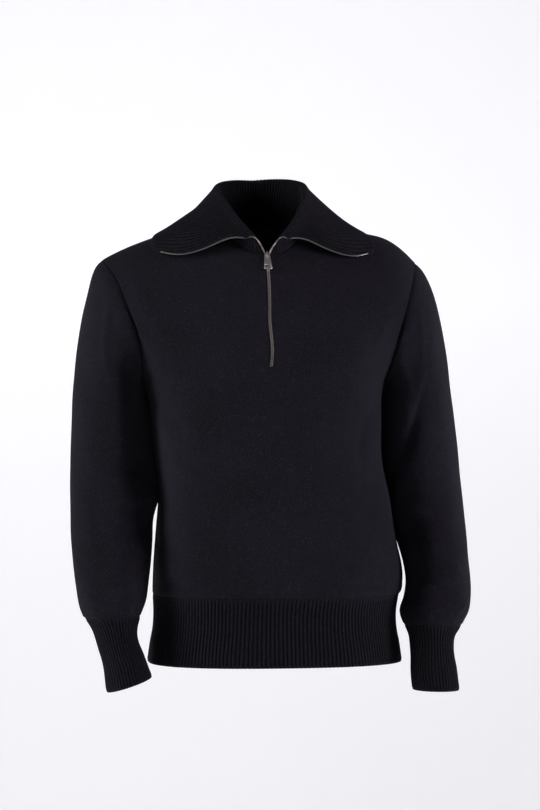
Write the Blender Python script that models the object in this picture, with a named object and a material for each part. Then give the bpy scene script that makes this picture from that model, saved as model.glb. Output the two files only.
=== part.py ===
"""Half-zip pullover sweater in fine wool, filled out as it is worn, with a rib collar folded over.

Heights are measured from the base of the neck, level with the top of the shoulder seams.
The front faces -Y and the wearer's left side is +X. Tables are in millimetres.
"""
import bmesh
import bpy
import numpy as np

MM = 0.001
SEAM_GAP = 0.4          # between neighbouring pieces, along the cloth
NECK_GAP = (0.6, 0.9)   # of the collar from the neck edge, inwards and upwards
ARMHOLE_GAP = 1.5       # of a sleeve from the body at its armhole seam
SHOULDER_GAP = 0.2      # of the front and the back from the middle plane, at shoulder and side seams
JERSEY = 2.4            # wall of the plain knit
RIB_WALL = 2.4          # wall of the rib under its ridges
RIB_HEIGHT = 0.9        # how far a ridge stands above its grooves

# Body, as sections: half the width, the middle's place in x, and the depth forward and back.
# Above the armpit the half width is that of the whole chest, which the armhole cuts.
TORSO = (
    # height, half width, middle x, front depth, back depth
    (40, 270, -5, 96, 88),
    (0, 268, -5, 100, 92),
    (-60, 262, -5, 109, 110),
    (-96, 252, -2, 118, 120),
    (-125, 246, -1, 125, 124),
    (-160, 237, 0, 131, 126),
    (-190, 221, 1, 134, 126),
    (-220, 200, 1, 136, 122),
    (-250, 185, 1, 136, 118),
    (-280, 180, 2, 133, 113),
    (-310, 177, 4, 131, 109),
    (-370, 173, 8, 126, 104),
    (-430, 176, 18, 124, 105),
    (-492, 183, 21, 126, 111),
    (-553, 190, 24, 131, 118),
    (-567, 189, 23, 131, 118),
    (-574, 186, 21, 128, 115),
    (-586, 184, 20, 125, 112),
    (-624, 184, 19, 125, 112),
    (-646, 188, 19, 127, 114),
    (-674, 192, 19, 130, 117),
)
ARMHOLE = (
    # height, distance from the body's middle
    (-70, 240),
    (-92, 229),
    (-115, 220),
    (-140, 211),
    (-168, 201),
    (-190, 194.5),
    (-217, 189.5),
    (-250, 185),
)
NECK_CURVE = 2.5        # squareness of the neck edge
NECK_CENTRE_Y = 0       # of the neck opening
MIDDLE_DIP = 20         # how far the armpit's row of points hangs at the middle
SLIT_ROWS = 6
LOWER_ROWS = (-285, -322, -360, -400, -440, -480, -518, -548, -566, -574)
SECTION_POWER = 2.5     # roundness of the body's sections, where 2 is an ellipse
NECK_HALF = 75          # from the neck's middle to the shoulder seam's top
SHOULDER_TIP = 240
SHOULDER_DROP = 70
SHOULDER_ROUND = (4, 17)    # how far the right and the left shoulder bow up between neck and tip
SHOULDER_BIAS = 2.2         # above 1, the bow is greatest towards the tip
ARMPIT = -250
FRONT_NECK = -62        # lowest point of the front neck edge
BACK_NECK = -12
HEM_SEAM = -574
HEM_END = -674
HEM_ROWS = (HEM_SEAM - SEAM_GAP, -588, -640, HEM_END)
NECK_COLUMNS = (6, 4)   # of the front's and the back's points, from the middle to the neck's corner
SHOULDER_COLUMNS = 7
FRONT_FALL = (220, 110)     # how far below the seam line full depth is reached, at neck and tip
BACK_FALL = (160, 110)

# Zip
ZIP_X = -5
SLIT_HALF = 2.5
SLIT_END = -231
ZIP_FADE_END = -430      # height at which the front's middle is the body's own again
TAPE_WIDE = 2.0         # one row of teeth with its tape
TAPE_THICK = 1.6
TAPE_MIDDLE = 1.2       # from the zip's middle line
TAPE_ROWS = 8           # of its points along the slit
TAPE_START = 1.0        # above the slit's end
TAPE_CLEAR = 2.9        # more room for the tape where it turns over the collar's fold
TAPE_TURN = (1, 3, 5, 7)    # points of the collar's profile between which that room grows and ends
HINGE_PROUD = 2.8       # of the pull's hinge, before the chest
HINGE_BELOW = 3.0       # of the pull's hinge, below the neck edge
SLIDER_FACE = ((-4.1, 1.0, -7.0), (4.1, 2.0, 1.2))
SLIDER_PARTS = (
    # name, low corner, high corner, both from the pull's hinge
    ("slider_back", (-3.6, 5.9, -6.4), (3.6, 6.9, 6.2)),
    ("slider_post", (-0.35, 1.4, 4.9), (0.35, 6.4, 6.2)),
    ("slider_nose", (-1.5, 1.0, 0.8), (1.5, 2.0, 3.0)),
    ("slider_neck", (-0.6, 1.0, 2.6), (0.6, 2.0, 6.2)),
    ("bridge_foot", (-1.0, -2.2, -4.6), (1.0, 1.4, -3.6)),
    ("bridge_head", (-1.0, -2.2, 2.0), (1.0, 1.4, 3.0)),
    ("bridge_top", (-1.0, -2.3, -4.4), (1.0, -1.3, 2.8)),
)
PULL_LONG = 25.5
PULL_ABOVE = 0.5        # of the pull's top edge, over its hinge
PULL_TOP = 7.8          # width at the upper edge
PULL_END = 12           # width at the lower edge
PULL_THICK = 1.2
PULL_CORNER = (1.2, 1.5)    # cut off the lower corners, across and along
PULL_EYE = ((-1.7, -3, -6.6), (1.7, 3, -0.5))
PULL_WINDOW = ((-3.6, -3, -22.5), (3.6, 3, -17.5))
CHEST_SPAN = 12         # height below the neck edge over which the chest's slope is taken
SHARP_ANGLE = 50        # degrees, between faces that meet in a hard edge

# Sleeves, as sections from the armhole to the cuff, each from its outer to its inner point. The
# wall's inner face follows these sections, and a cuff's ridges end as far out as the sleeve's wall.
SLEEVE_RIGHT = (
    # station, outer x, outer z, inner x, inner z, middle y, half depth
    (0, -240, -70, -184, -250, 0, 72),
    (1, -252.5, -91, -188.5, -260, 1, 73),
    (2, -262, -121, -186, -272, 2, 73),
    (3, -271, -158, -182, -287, 4, 71),
    (4, -277.5, -200, -178, -305, 6, 69),
    (5, -282.5, -249, -173.5, -329, 9, 67),
    (6, -285.5, -298, -170, -356, 11, 65),
    (7, -287.5, -347, -166, -386, 11, 63),
    (8, -288.5, -394, -163, -420, 8, 61),
    (9, -289, -440, -168, -453, 1, 59),
    (10, -288, -481, -171, -487, -12, 57),
    (11, -286.5, -516, -174.5, -519, -26, 55),
    (12, -284, -548, -179, -548, -38, 52),
    (13, -281, -573, -183, -572, -48, 48),
    (14, -277.5, -589, -188, -587, -55, 43),
    (15, -271.5, -602, -194, -600, -60, 37.5),
)
SLEEVE_LEFT = (
    # station, outer x, outer z, inner x, inner z, middle y, half depth
    (0, 240, -70, 186, -250, 0, 72),
    (1, 253, -91, 190, -260, 1, 73),
    (2, 264.5, -121, 189, -272, 2, 73),
    (3, 273, -158, 188, -287, 4, 71),
    (4, 281, -200, 187, -305, 6, 69),
    (5, 288, -249, 187, -329, 9, 67),
    (6, 294.5, -298, 188, -356, 11, 65),
    (7, 300.5, -347, 190.5, -386, 11, 63),
    (8, 305.5, -395, 195.5, -420, 8, 61),
    (9, 308.5, -441, 201, -453, 1, 59),
    (10, 310.5, -482, 207.5, -488, -12, 57),
    (11, 310.5, -518, 215, -521, -28, 54),
    (12, 310, -550, 217.5, -551, -41, 50),
    (13, 308.5, -577, 212.5, -576, -51, 46),
    (14, 304.5, -598, 205, -597, -57, 42),
    (15, 292, -618, 210, -617, -63, 37.5),
)
CUFF_RIGHT = (
    # station, outer x, outer z, inner x, inner z, middle y, half depth
    (0, -271.5, -602, -194, -600, -60, 37.5),
    (1, -259, -622, -198, -619, -66, 35),
    (2, -251.5, -647, -197, -638, -73, 34),
    (3, -245, -675, -189, -660, -81, 35),
    (4, -241, -709, -178.5, -688, -88, 36.5),
)
CUFF_LEFT = (
    # station, outer x, outer z, inner x, inner z, middle y, half depth
    (0, 292, -618, 210, -617, -63, 37.5),
    (1, 281, -636, 217, -635, -69, 35),
    (2, 278, -661, 218, -660, -77, 34),
    (3, 280.5, -685, 216, -684, -85, 34.5),
    (4, 283.5, -713, 218, -712, -90, 36),
)
ARM_SIDES = 20          # facets round a sleeve
ARMHOLE_BLEND = 3       # stations over which the armhole's outline becomes the sleeve's own
ARMHOLE_FACING = (0.6, 0.25, 0.75)  # how the seam faces: outwards at its top and sides, and upwards
SLEEVE_ROWS = (0, 0.5, 1, 1.6, 2.3, 3, 4, 5, 6, 7, 8, 9, 10, 11, 12, 13, 14, 15)
SLEEVE_SWELL = 0.5      # stations over which the wall comes out from the armhole's seam
SLEEVE_CALM = (1.5, 1.0)    # stations from the armhole and from the cuff over which folds fade out
CUFF_ROWS = (0, 0.5, 1, 2.5, 4)

# Collar, from the zip (0) to the middle of the back (1): the fold's crest and the free edge,
# both measured from the neck's middle.
COLLAR = (
    # place, fold x, fold y, fold z, edge x, edge y, edge z
    (0.00, 23, -96, -34, 167, -62, -54),
    (0.08, 35, -91, -23, 169, -44, -44),
    (0.18, 48, -78, -8, 165, -24, -36),
    (0.30, 60, -56, 11, 158, 0, -30),
    (0.43, 68, -28, 28, 147, 30, -31),
    (0.55, 70, 0, 40, 130, 54, -39),
    (0.67, 65, 27, 48, 106, 76, -48),
    (0.79, 50, 50, 55, 74, 93, -55),
    (0.90, 27, 64, 59, 38, 103, -59),
    (1.00, 0, 69, 60, 0, 107, -61),
)
FOLD_ROUND = (7.5, 5.5) # radius of the collar's fold, at the zip and at the back
FOLD_SHOULDER = (0.72, 0.3)     # the points on both sides of the crest, beside and below it, in radii
FRONT_BEND = 3          # how fast the fold's radius grows from the zip to the back
COLLAR_LIFT = (2, 9)    # how much the wearer's right and left half of the leaf are raised
COLLAR_DRAW = (6, 0)    # how much nearer to the neck each half's leaf lies
CORNER_CUT = 0.085      # share of the leaf's length that its rounded front corner takes off
CORNER_ALONG = 0.055    # place along the collar where the rounding ends
LEAF_SAG = (
    # share of the way from fold to corner, how far the leaf's front edge hangs below that line
    (0.0, 0),
    (0.12, -6),
    (0.26, 0),
    (0.44, 9),
    (0.64, 15),
    (0.84, 14.5),
    (1.0, 7),
)
SAG_FORWARD = 0.55      # share of the sag by which the edge comes forward over the chest
SAG_END = (0.3, 0.06)   # place along the collar where the sag has faded out, at fold and free edge
NECK_LEAD = 0.85        # below 1, the collar's ribs lean forward from the neck seam to the fold
LEAF_CROWN = 5          # how far the leaf bows out between its fold and its edge
LEAF_LEAN = 0.7         # below 1, the bow is greatest towards the free edge
STAND_SHARE = 0.25      # share of the collar's profile over which COLLAR_LIFT and COLLAR_DRAW set in
COLLAR_RIBS = 108
CUFF_RIBS = 48
HEM_RIBS = 94           # on the front, and as many on the back

CUFF_INSIDE = 16        # facets of the plain inside
HEM_INSIDE = 19
COLLAR_INSIDE = 29
FOLD_START = 3          # first row of the collar's profile that shows its ribs
LEAF_ROWS = (0.12, 0.26, 0.44, 0.64, 0.84, 1.0)

# Largest folds and hollows of the cloth. On the body: place along x and height of both ends.
FOLD_SLOPE = 1.6        # steepness of a fold's sides
FOLD_TAPER = 0.6        # below 1, a fold keeps its height nearly to its ends
FOLD_TIP = 0.02         # share of a fold's length at which its end is cut
FOLD_CALM = 20          # height above the hem seam over which folds fade out
FRONT_FOLDS = (
    # start x, start z, end x, end z, half width, height (a hollow is negative)
    (-150, -548, -85, -556, 17, -3.5),
    (-165, -480, -120, -520, 24, -3.0),
    (-120, -562, -40, -566, 14, 2.2),
    (120, -545, 175, -556, 18, -3.0),
    (135, -430, 178, -500, 26, -3.5),
    (-178, -262, -110, -330, 30, -3.0),
    (176, -262, 120, -345, 30, -3.5),
    (-60, -120, -25, -215, 26, -1.8),
    (18, -240, 60, -330, 30, 1.8),
)
BACK_FOLDS = (
    # start x, start z, end x, end z, half width, height (a hollow is negative)
    (-140, -430, 20, -452, 24, -3.5),
    (-20, -480, 150, -462, 24, -3.5),
    (-120, -540, -30, -552, 20, 3.0),
    (60, -538, 150, -550, 20, 3.0),
    (-178, -265, -100, -350, 30, -3.5),
    (178, -265, 95, -360, 30, -3.5),
)
# On a sleeve: the angle round it (0 outside, 90 front, 180 inside) and the station of both ends.
SLEEVE_FOLDS_RIGHT = (
    # start angle, start station, end angle, end station, half width, height
    (95, 1.8, 70, 4.2, 22, 3.0),
    (130, 1.5, 105, 4.5, 20, -3.5),
    (150, 6.2, 95, 7.8, 20, -4.5),
    (160, 8.0, 100, 8.8, 20, 4.0),
    (165, 9.4, 85, 10.2, 22, -4.0),
    (60, 11.6, 130, 12.4, 20, 3.0),
    (215, 6.4, 280, 7.6, 22, -4.0),
    (210, 8.8, 270, 9.6, 22, -3.5),
    (235, 12.0, 300, 12.6, 20, 3.0),
)
SLEEVE_FOLDS_LEFT = (
    # start angle, start station, end angle, end station, half width, height
    (110, 0.8, 80, 4.0, 22, -3.0),
    (85, 4.6, 150, 7.6, 20, -4.5),
    (120, 6.6, 160, 9.0, 18, 4.0),
    (80, 9.0, 165, 10.2, 22, -4.0),
    (55, 11.4, 140, 12.6, 20, 3.5),
    (60, 13.0, 120, 13.4, 14, -2.5),
    (215, 6.0, 285, 7.4, 22, -4.0),
    (205, 9.0, 265, 9.8, 22, -3.5),
    (235, 12.2, 300, 12.8, 20, 3.0),
)
STATION_PITCH = 40      # mean distance between two sleeve stations
SLEEVE_ROUND = 62       # mean radius of a sleeve, for measuring along its girth

# Colours: red, green, blue, roughness, metallic
WOOL = (0.0093, 0.0088, 0.0125, 0.95, 0.0)
RIB = (0.0080, 0.0077, 0.0105, 0.96, 0.0)
TAPE = (0.0500, 0.0470, 0.0450, 0.60, 0.6)
METAL = (0.3300, 0.2950, 0.2700, 0.36, 1.0)


def smooth(rows, at):
    """The other columns of a table at places of its first column, on a smooth curve through its rows."""
    table = np.array(sorted(rows), float)
    key, values = table[:, 0], table[:, 1:]
    slope = np.gradient(values, key, axis=0)
    at = np.clip(np.asarray(at, float), key[0], key[-1])
    row = np.clip(np.searchsorted(key, at, side="right") - 1, 0, len(key) - 2)
    step = (key[row + 1] - key[row])[..., None]
    f = ((at - key[row])[..., None]) / step
    start = values[row] * (1 + 2 * f) * (1 - f) ** 2 + slope[row] * step * f * (1 - f) ** 2
    end = values[row + 1] * f ** 2 * (3 - 2 * f) + slope[row + 1] * step * f ** 2 * (f - 1)
    return start + end


def ease(value):
    """0 to 1 with a soft start and end."""
    value = np.clip(value, 0, 1)
    return value * value * (3 - 2 * value)


def unit(vectors):
    return vectors / np.maximum(np.linalg.norm(vectors, axis=-1, keepdims=True), 1e-9)


def shoulder_line(out):
    """Height of the shoulder seam, carried on over the neck, at a distance from the middle."""
    share = (np.abs(out) - NECK_HALF) / (SHOULDER_TIP - NECK_HALF)
    bow = np.where(out > 0, SHOULDER_ROUND[1], SHOULDER_ROUND[0])
    return -SHOULDER_DROP * share + bow * np.sin(np.pi * np.clip(share, 0, 1) ** SHOULDER_BIAS)


def fold_height(folds, across, along):
    """Sum of the folds at points given by two distances on the cloth."""
    total = np.zeros(np.broadcast(across, along).shape)
    for x0, z0, x1, z1, half_width, height in folds:
        dx, dz = x1 - x0, z1 - z0
        length = np.hypot(dx, dz)
        t = ((across - x0) * dx + (along - z0) * dz) / length ** 2
        nearest = np.clip(t, 0, 1)
        away = np.hypot(across - x0 - nearest * dx, along - z0 - nearest * dz)
        taper = np.sin(np.pi * np.clip(nearest, FOLD_TIP, 1 - FOLD_TIP)) ** FOLD_TAPER
        total += height * taper * np.exp(-(away / half_width) ** 2 * FOLD_SLOPE)
    return total


def body_depth(side, out, height):
    """How far in front (side -1) or behind (+1) the body's surface lies."""
    section = smooth(TORSO, height)
    half, reach = section[..., 0], section[..., 2 if side < 0 else 3]
    near, far = FRONT_FALL if side < 0 else BACK_FALL
    share = np.abs(out) / SHOULDER_TIP
    drop = np.clip((shoulder_line(out) - height) / (near + (far - near) * share), 0, 1)
    width = np.clip(np.abs(out) / half, 0, 1)
    fullness = (1 - width ** SECTION_POWER) ** (1 / SECTION_POWER)
    return side * reach * fullness * np.sqrt(1 - (1 - drop) ** 2)


def body_point(side, out, height):
    middle = smooth(TORSO, height)[..., 1]
    return np.stack([middle + out, body_depth(side, out, height), height + 0 * out], axis=-1)


def armhole_reach(height):
    return smooth(ARMHOLE, height)[..., 0]


def armhole_height(angle):
    """Height on the armhole at an angle, 0 at the shoulder tip and 180 degrees at the armpit."""
    half = (-SHOULDER_DROP - ARMPIT) / 2
    return -SHOULDER_DROP - half + half * np.cos(angle)


def armhole_point(side, angle):
    """A point of the armhole's edge. Side is +1 for the wearer's left."""
    height = armhole_height(angle)
    out = armhole_reach(height)
    front = np.sin(angle) >= 0
    depth = np.where(front, body_depth(-1, out, height), body_depth(1, out, height))
    return np.stack([smooth(TORSO, height)[..., 1] + side * out, depth, height], axis=-1)


def grid_normals(grid, around=False, flip=False):
    """Unit normals of a grid of points, rows by columns."""
    down = np.gradient(grid, axis=0)
    if around:
        across = (np.roll(grid, -1, axis=1) - np.roll(grid, 1, axis=1)) / 2
    else:
        across = np.gradient(grid, axis=1)
    normals = unit(np.cross(down, across))
    return -normals if flip else normals


def quads(rows, columns, around=False, first=0, holes=()):
    """Index quads of a grid of points."""
    faces = []
    for row in range(rows - 1):
        for column in range(columns if around else columns - 1):
            if (row, column) in holes:
                continue
            right = (column + 1) % columns
            faces.append((first + row * columns + column, first + row * columns + right,
                          first + (row + 1) * columns + right, first + (row + 1) * columns + column))
    return faces


def bridge(upper, lower):
    """Triangles between two lines of points, matched by how far along each line they are."""
    faces = []
    i, j = 0, 0
    while i < len(upper) - 1 or j < len(lower) - 1:
        if (i + 1) * (len(lower) - 1) <= (j + 1) * (len(upper) - 1) and i < len(upper) - 1:
            faces.append((upper[i], upper[i + 1], lower[j]))
            i += 1
        else:
            faces.append((upper[i], lower[j + 1], lower[j]))
            j += 1
    return faces


def make_material(name, finish):
    red, green, blue, roughness, metallic = finish
    material = bpy.data.materials.new(name)
    material.use_nodes = True
    shader = material.node_tree.nodes["Principled BSDF"]
    shader.inputs["Base Color"].default_value = (red, green, blue, 1)
    shader.inputs["Roughness"].default_value = roughness
    shader.inputs["Metallic"].default_value = metallic
    return material


def make_object(name, points, faces, finish):
    """A closed, smooth-shaded mesh from points in millimetres, with its faces turned outwards."""
    mesh = bpy.data.meshes.new(name)
    mesh.from_pydata([tuple(point * MM) for point in points], [], faces)
    work = bmesh.new()
    work.from_mesh(mesh)
    bmesh.ops.remove_doubles(work, verts=work.verts, dist=0.00001)
    bmesh.ops.recalc_face_normals(work, faces=work.faces)
    if work.calc_volume(signed=True) < 0:
        bmesh.ops.reverse_faces(work, faces=work.faces)
    work.to_mesh(mesh)
    work.free()
    mesh.shade_smooth()
    mesh.set_sharp_from_angle(angle=np.radians(SHARP_ANGLE))
    mesh.materials.append(make_material(name, finish))
    made = bpy.data.objects.new(name, mesh)
    bpy.context.scene.collection.objects.link(made)
    return made


def plain_wall(name, surface, normals, finish, around=False, holes=(), thickness=JERSEY):
    """A cloth wall: the outer points, the same points moved in, and a rim on every free edge."""
    rows, columns = surface.shape[:2]
    count = rows * columns
    outer = quads(rows, columns, around, 0, holes)
    uses = {}
    for face in outer:
        for a, b in zip(face, face[1:] + face[:1]):
            uses[(a, b)] = (b, a) not in uses and (a, b) not in uses
            if (b, a) in uses:
                uses[(b, a)] = uses[(a, b)] = False
    rim = [(b, a, a + count, b + count) for (a, b), free in uses.items() if free]
    inner = [tuple(index + count for index in reversed(face)) for face in outer]
    used = sorted({index for face in outer + inner for index in face})
    place = {index: number for number, index in enumerate(used)}
    points = np.concatenate([surface.reshape(-1, 3), (surface - normals * thickness).reshape(-1, 3)])
    faces = [tuple(place[index] for index in face) for face in outer + inner + rim]
    return make_object(name, points[used], faces, finish)


def ribbed_wall(name, outer_bands, inner, finish, around=False):
    """A wall whose outer face is a stack of bands with their own column counts, over a plain inside."""
    points, faces, first_lines, last_lines, edges = [], [], [], [], ([], [])
    start = 0
    for band in list(outer_bands) + [inner]:
        rows, columns = band.shape[:2]
        faces += quads(rows, columns, around, start)
        points.append(band.reshape(-1, 3))
        line = list(range(columns)) + ([0] if around else [])
        first_lines.append([start + index for index in line])
        last_lines.append([start + (rows - 1) * columns + index for index in line])
        edges[0].append([start + row * columns for row in range(rows)])
        edges[1].append([start + row * columns + columns - 1 for row in range(rows)])
        start += rows * columns
    for upper, lower in zip(last_lines[:-2], first_lines[1:-1]):
        faces += bridge(upper, lower)
    faces += bridge(first_lines[0], first_lines[-1])
    faces += bridge(last_lines[-2], last_lines[-1])
    if not around:
        for side in edges:
            outer_edge = [index for band in side[:-1] for index in band]
            faces += bridge(outer_edge, side[-1])
    return make_object(name, np.concatenate(points), faces, finish)


def ridges(count):
    """Relief across a rib band: every other line of points is a ridge, the ends are grooves."""
    relief = np.zeros(count * 2 + 1)
    relief[1::2] = RIB_HEIGHT
    return relief


def zip_pull_over(out, height):
    """How far the front is moved sideways so that its middle follows the zip."""
    section = smooth(TORSO, height)
    fade = ease((height - ZIP_FADE_END) / (SLIT_END - ZIP_FADE_END))
    return (ZIP_X - section[..., 1]) * (1 - np.clip(np.abs(out) / section[..., 0], 0, 1)) * fade


def neck_height(side, out):
    """Height of the neck edge at a distance from the middle."""
    lowest = FRONT_NECK if side < 0 else BACK_NECK
    return lowest * (1 - np.clip(np.abs(out) / NECK_HALF, 0, 1) ** NECK_CURVE)


def panel_columns(side):
    """Distances from the middle, at the top edge, of the panel's columns on one half."""
    if side < 0:
        neck = np.linspace(SLIT_HALF, NECK_HALF, NECK_COLUMNS[0])
    else:
        neck = np.linspace(0, NECK_HALF, NECK_COLUMNS[1])
    return np.concatenate([neck, np.linspace(NECK_HALF, SHOULDER_TIP, SHOULDER_COLUMNS)[1:]])


def panel_outs(side):
    """Heights and distances from the middle of all the panel's points, rows by columns."""
    half = panel_columns(side)
    rank = np.linspace(0, 1, len(half))
    if side < 0:
        half = np.concatenate([-half[::-1], half])
        rank = np.concatenate([-rank[::-1], rank])
    else:
        half = np.concatenate([-half[:0:-1], half])
        rank = np.concatenate([-rank[:0:-1], rank])
    far = np.abs(half) / SHOULDER_TIP
    least = np.where(far < far.max() / 2, SLIT_HALF, 0) * np.sign(half)
    seam = shoulder_line(half)
    top = np.where(np.abs(half) < NECK_HALF, neck_height(side, half), seam)
    low = ARMPIT - MIDDLE_DIP * (1 - far)
    at_edge = (1 - np.cos(np.linspace(0, np.pi, ARM_SIDES // 2 + 1))) / 2
    slit_share = (SLIT_END - FRONT_NECK) / (ARMPIT - MIDDLE_DIP - FRONT_NECK)
    at_middle = np.concatenate([np.linspace(0, slit_share, SLIT_ROWS + 1),
                                np.linspace(slit_share, 1, len(at_edge) - SLIT_ROWS)[1:]])
    heights, outs = [], []
    for edge, middle in zip(at_edge, at_middle):
        height = top + (low - top) * (middle + (edge - middle) * far)
        spread = half / SHOULDER_TIP * (1 - edge) + np.sin(rank * np.pi / 2) * edge
        reach = armhole_reach(np.minimum(height, -SHOULDER_DROP))
        heights.append(height)
        outs.append(np.where(np.abs(spread * reach) < SLIT_HALF, least, spread * reach))
    for share in (np.array(LOWER_ROWS) - ARMPIT) / (HEM_SEAM - ARMPIT):
        height = low + (HEM_SEAM - low) * share
        out = np.sin(rank * np.pi / 2) * smooth(TORSO, height)[..., 0]
        heights.append(height)
        outs.append(np.where(np.abs(out) < SLIT_HALF, least, out))
    return np.array(heights), np.array(outs)


def armhole_normal(side, angle):
    """The way that the cloth faces at the armhole seam, halfway between body and sleeve."""
    at_top, at_side, up = ARMHOLE_FACING
    across = side * (at_top * ((1 + np.cos(angle)) / 2) ** 2 + at_side * np.abs(np.sin(angle)))
    return unit(np.stack([across, -np.sin(angle), up * np.cos(angle)], axis=-1))


def make_panel(name, side, folds, finish):
    """The front (side -1) or the back (+1), from its neck and shoulder edges to the hem seam."""
    height, out = panel_outs(side)
    points = body_point(side, out, height)
    if side < 0:
        points[..., 0] += zip_pull_over(out, height)
    normals = grid_normals(points, flip=side > 0)
    relief = fold_height(folds, points[..., 0], points[..., 2])
    relief *= ease((points[..., 2] - HEM_SEAM) / FOLD_CALM)
    relief[:, [0, -1]] = 0
    points += normals * relief[..., None]
    points[..., 1] += side * SHOULDER_GAP
    normals = grid_normals(points, flip=side > 0)
    armpit = ARM_SIDES // 2
    slope = SHOULDER_DROP / (SHOULDER_TIP - NECK_HALF)
    on_shoulder = np.abs(out[0]) >= NECK_HALF - 1
    ridge = unit(np.stack([np.sign(out[0]) * slope, 0 * out[0], 1 + 0 * out[0]], axis=-1))
    normals[0][on_shoulder] = ridge[on_shoulder]
    angles = np.linspace(0, np.pi, armpit + 1) * -side
    for column, hand in ((0, -1), (-1, 1)):
        normals[:armpit + 1, column] = armhole_normal(hand, angles)
        normals[armpit + 1:, column] = (hand, 0, 0)
    normals[-1, :, 2] = 0
    normals[-1] = unit(normals[-1])
    middle = out.shape[1] // 2 - 1
    holes = {(row, middle) for row in range(SLIT_ROWS)} if side < 0 else set()
    return plain_wall(name, points, normals, finish, holes=holes)


def tube_point(table, station, angle):
    """A point of a sleeve or cuff, at a station along it and an angle round it."""
    outer_x, outer_z, inner_x, inner_z, middle_y, half_depth = np.moveaxis(smooth(table, station), -1, 0)
    swing = np.cos(angle)
    return np.stack([(outer_x + inner_x + (outer_x - inner_x) * swing) / 2,
                     middle_y - half_depth * np.sin(angle),
                     (outer_z + inner_z + (outer_z - inner_z) * swing) / 2], axis=-1)


def sleeve_surface(table, side, folds, stations, angles):
    """Points and normals of a sleeve, from the armhole's outline to the section at its cuff."""
    station, angle = np.meshgrid(stations, angles, indexing="ij")
    points = tube_point(table, station, angle)
    fade = (1 - ease(station / ARMHOLE_BLEND))[..., None]
    points += (armhole_point(side, angle) - tube_point(table, 0 * station, angle)) * fade
    normals = grid_normals(points, around=True, flip=side > 0)
    around = np.degrees(angle)
    relief = 0
    for turn in (-360, 0, 360):
        scaled = [(np.radians(a0 + turn) * SLEEVE_ROUND, s0 * STATION_PITCH,
                   np.radians(a1 + turn) * SLEEVE_ROUND, s1 * STATION_PITCH, w, h)
                  for a0, s0, a1, s1, w, h in folds]
        relief = relief + fold_height(scaled, np.radians(around) * SLEEVE_ROUND, station * STATION_PITCH)
    relief *= ease(station / SLEEVE_CALM[0]) * ease((stations[-1] - station) / SLEEVE_CALM[1])
    points += normals * relief[..., None]
    return points, grid_normals(points, around=True, flip=side > 0)


def in_plane(normals, ring):
    """Normals of a ring of points, turned into the ring's own plane."""
    quarter = len(ring) // 4
    axis = unit(np.cross(ring[0] - ring[2 * quarter], ring[quarter] - ring[3 * quarter]))
    return unit(normals - (normals @ axis)[:, None] * axis)


def make_sleeve(name, side, table, folds, finish):
    angles = np.linspace(0, 2 * np.pi, ARM_SIDES, endpoint=False)
    points, normals = sleeve_surface(table, side, folds, SLEEVE_ROWS, angles)
    normals[0] = armhole_normal(side, angles)
    points[0] += unit(points[1] - points[0]) * ARMHOLE_GAP
    normals[-1] = in_plane(normals[-1], points[-1])
    points += normals * JERSEY * ease(np.array(SLEEVE_ROWS) / SLEEVE_SWELL)[:, None, None]
    return plain_wall(name, points, normals, finish, around=True)


def make_cuff(name, side, table, finish):
    """A rib cuff: the ridges run along the arm."""
    lines = []
    for count in (CUFF_RIBS * 2, CUFF_INSIDE):
        angles = np.linspace(0, 2 * np.pi, count, endpoint=False)
        station, angle = np.meshgrid(CUFF_ROWS, angles, indexing="ij")
        points = tube_point(table, station, angle)
        normals = grid_normals(points, around=True, flip=side > 0)
        axis = unit(points[1].mean(axis=0) - points[0].mean(axis=0))
        points[0] += axis * SEAM_GAP
        normals[0] = in_plane(normals[0], points[0])
        normals[-1] = in_plane(normals[-1], points[-1])
        lines.append((points, normals))
    relief = RIB_WALL - RIB_HEIGHT + np.tile([0, RIB_HEIGHT], CUFF_RIBS)
    outer = lines[0][0] + lines[0][1] * relief[None, :, None]
    return ribbed_wall(name, [outer], lines[1][0], finish, around=True)


def make_hem(name, side, finish):
    """Half of the rib band at the hem: the ridges run up and down."""
    grids = []
    for count in (HEM_RIBS * 2 + 1, HEM_INSIDE):
        turn = np.linspace(-np.pi / 2, np.pi / 2, count)
        height, angle = np.meshgrid(HEM_ROWS, turn, indexing="ij")
        out = np.sin(angle) * smooth(TORSO, height)[..., 0]
        points = body_point(side, out, height)
        points[..., 1] += side * SHOULDER_GAP
        normals = grid_normals(points, flip=side > 0)
        normals[:, 0] = (-1, 0, 0)
        normals[:, -1] = (1, 0, 0)
        normals[[0, -1], :, 2] = 0
        grids.append((points, unit(normals)))
    outer = grids[0][0] + grids[0][1] * ridges(HEM_RIBS)[None, :, None]
    inner = grids[1][0] - grids[1][1] * RIB_WALL
    return ribbed_wall(name, [outer], inner, finish)


def neck_point(place):
    """A point of the neck edge, from the zip (0) over the shoulder to the back's middle (1)."""
    turn = place ** NECK_LEAD
    front = turn < 0.5
    out = np.maximum(NECK_HALF * np.sin(turn * np.pi), SLIT_HALF * front)
    height = np.where(front, neck_height(-1, out), neck_height(1, out))
    depth = np.where(front, body_depth(-1, out, height) - SHOULDER_GAP,
                     body_depth(1, out, height) + SHOULDER_GAP)
    return np.stack([out, depth, height], axis=-1)


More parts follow.
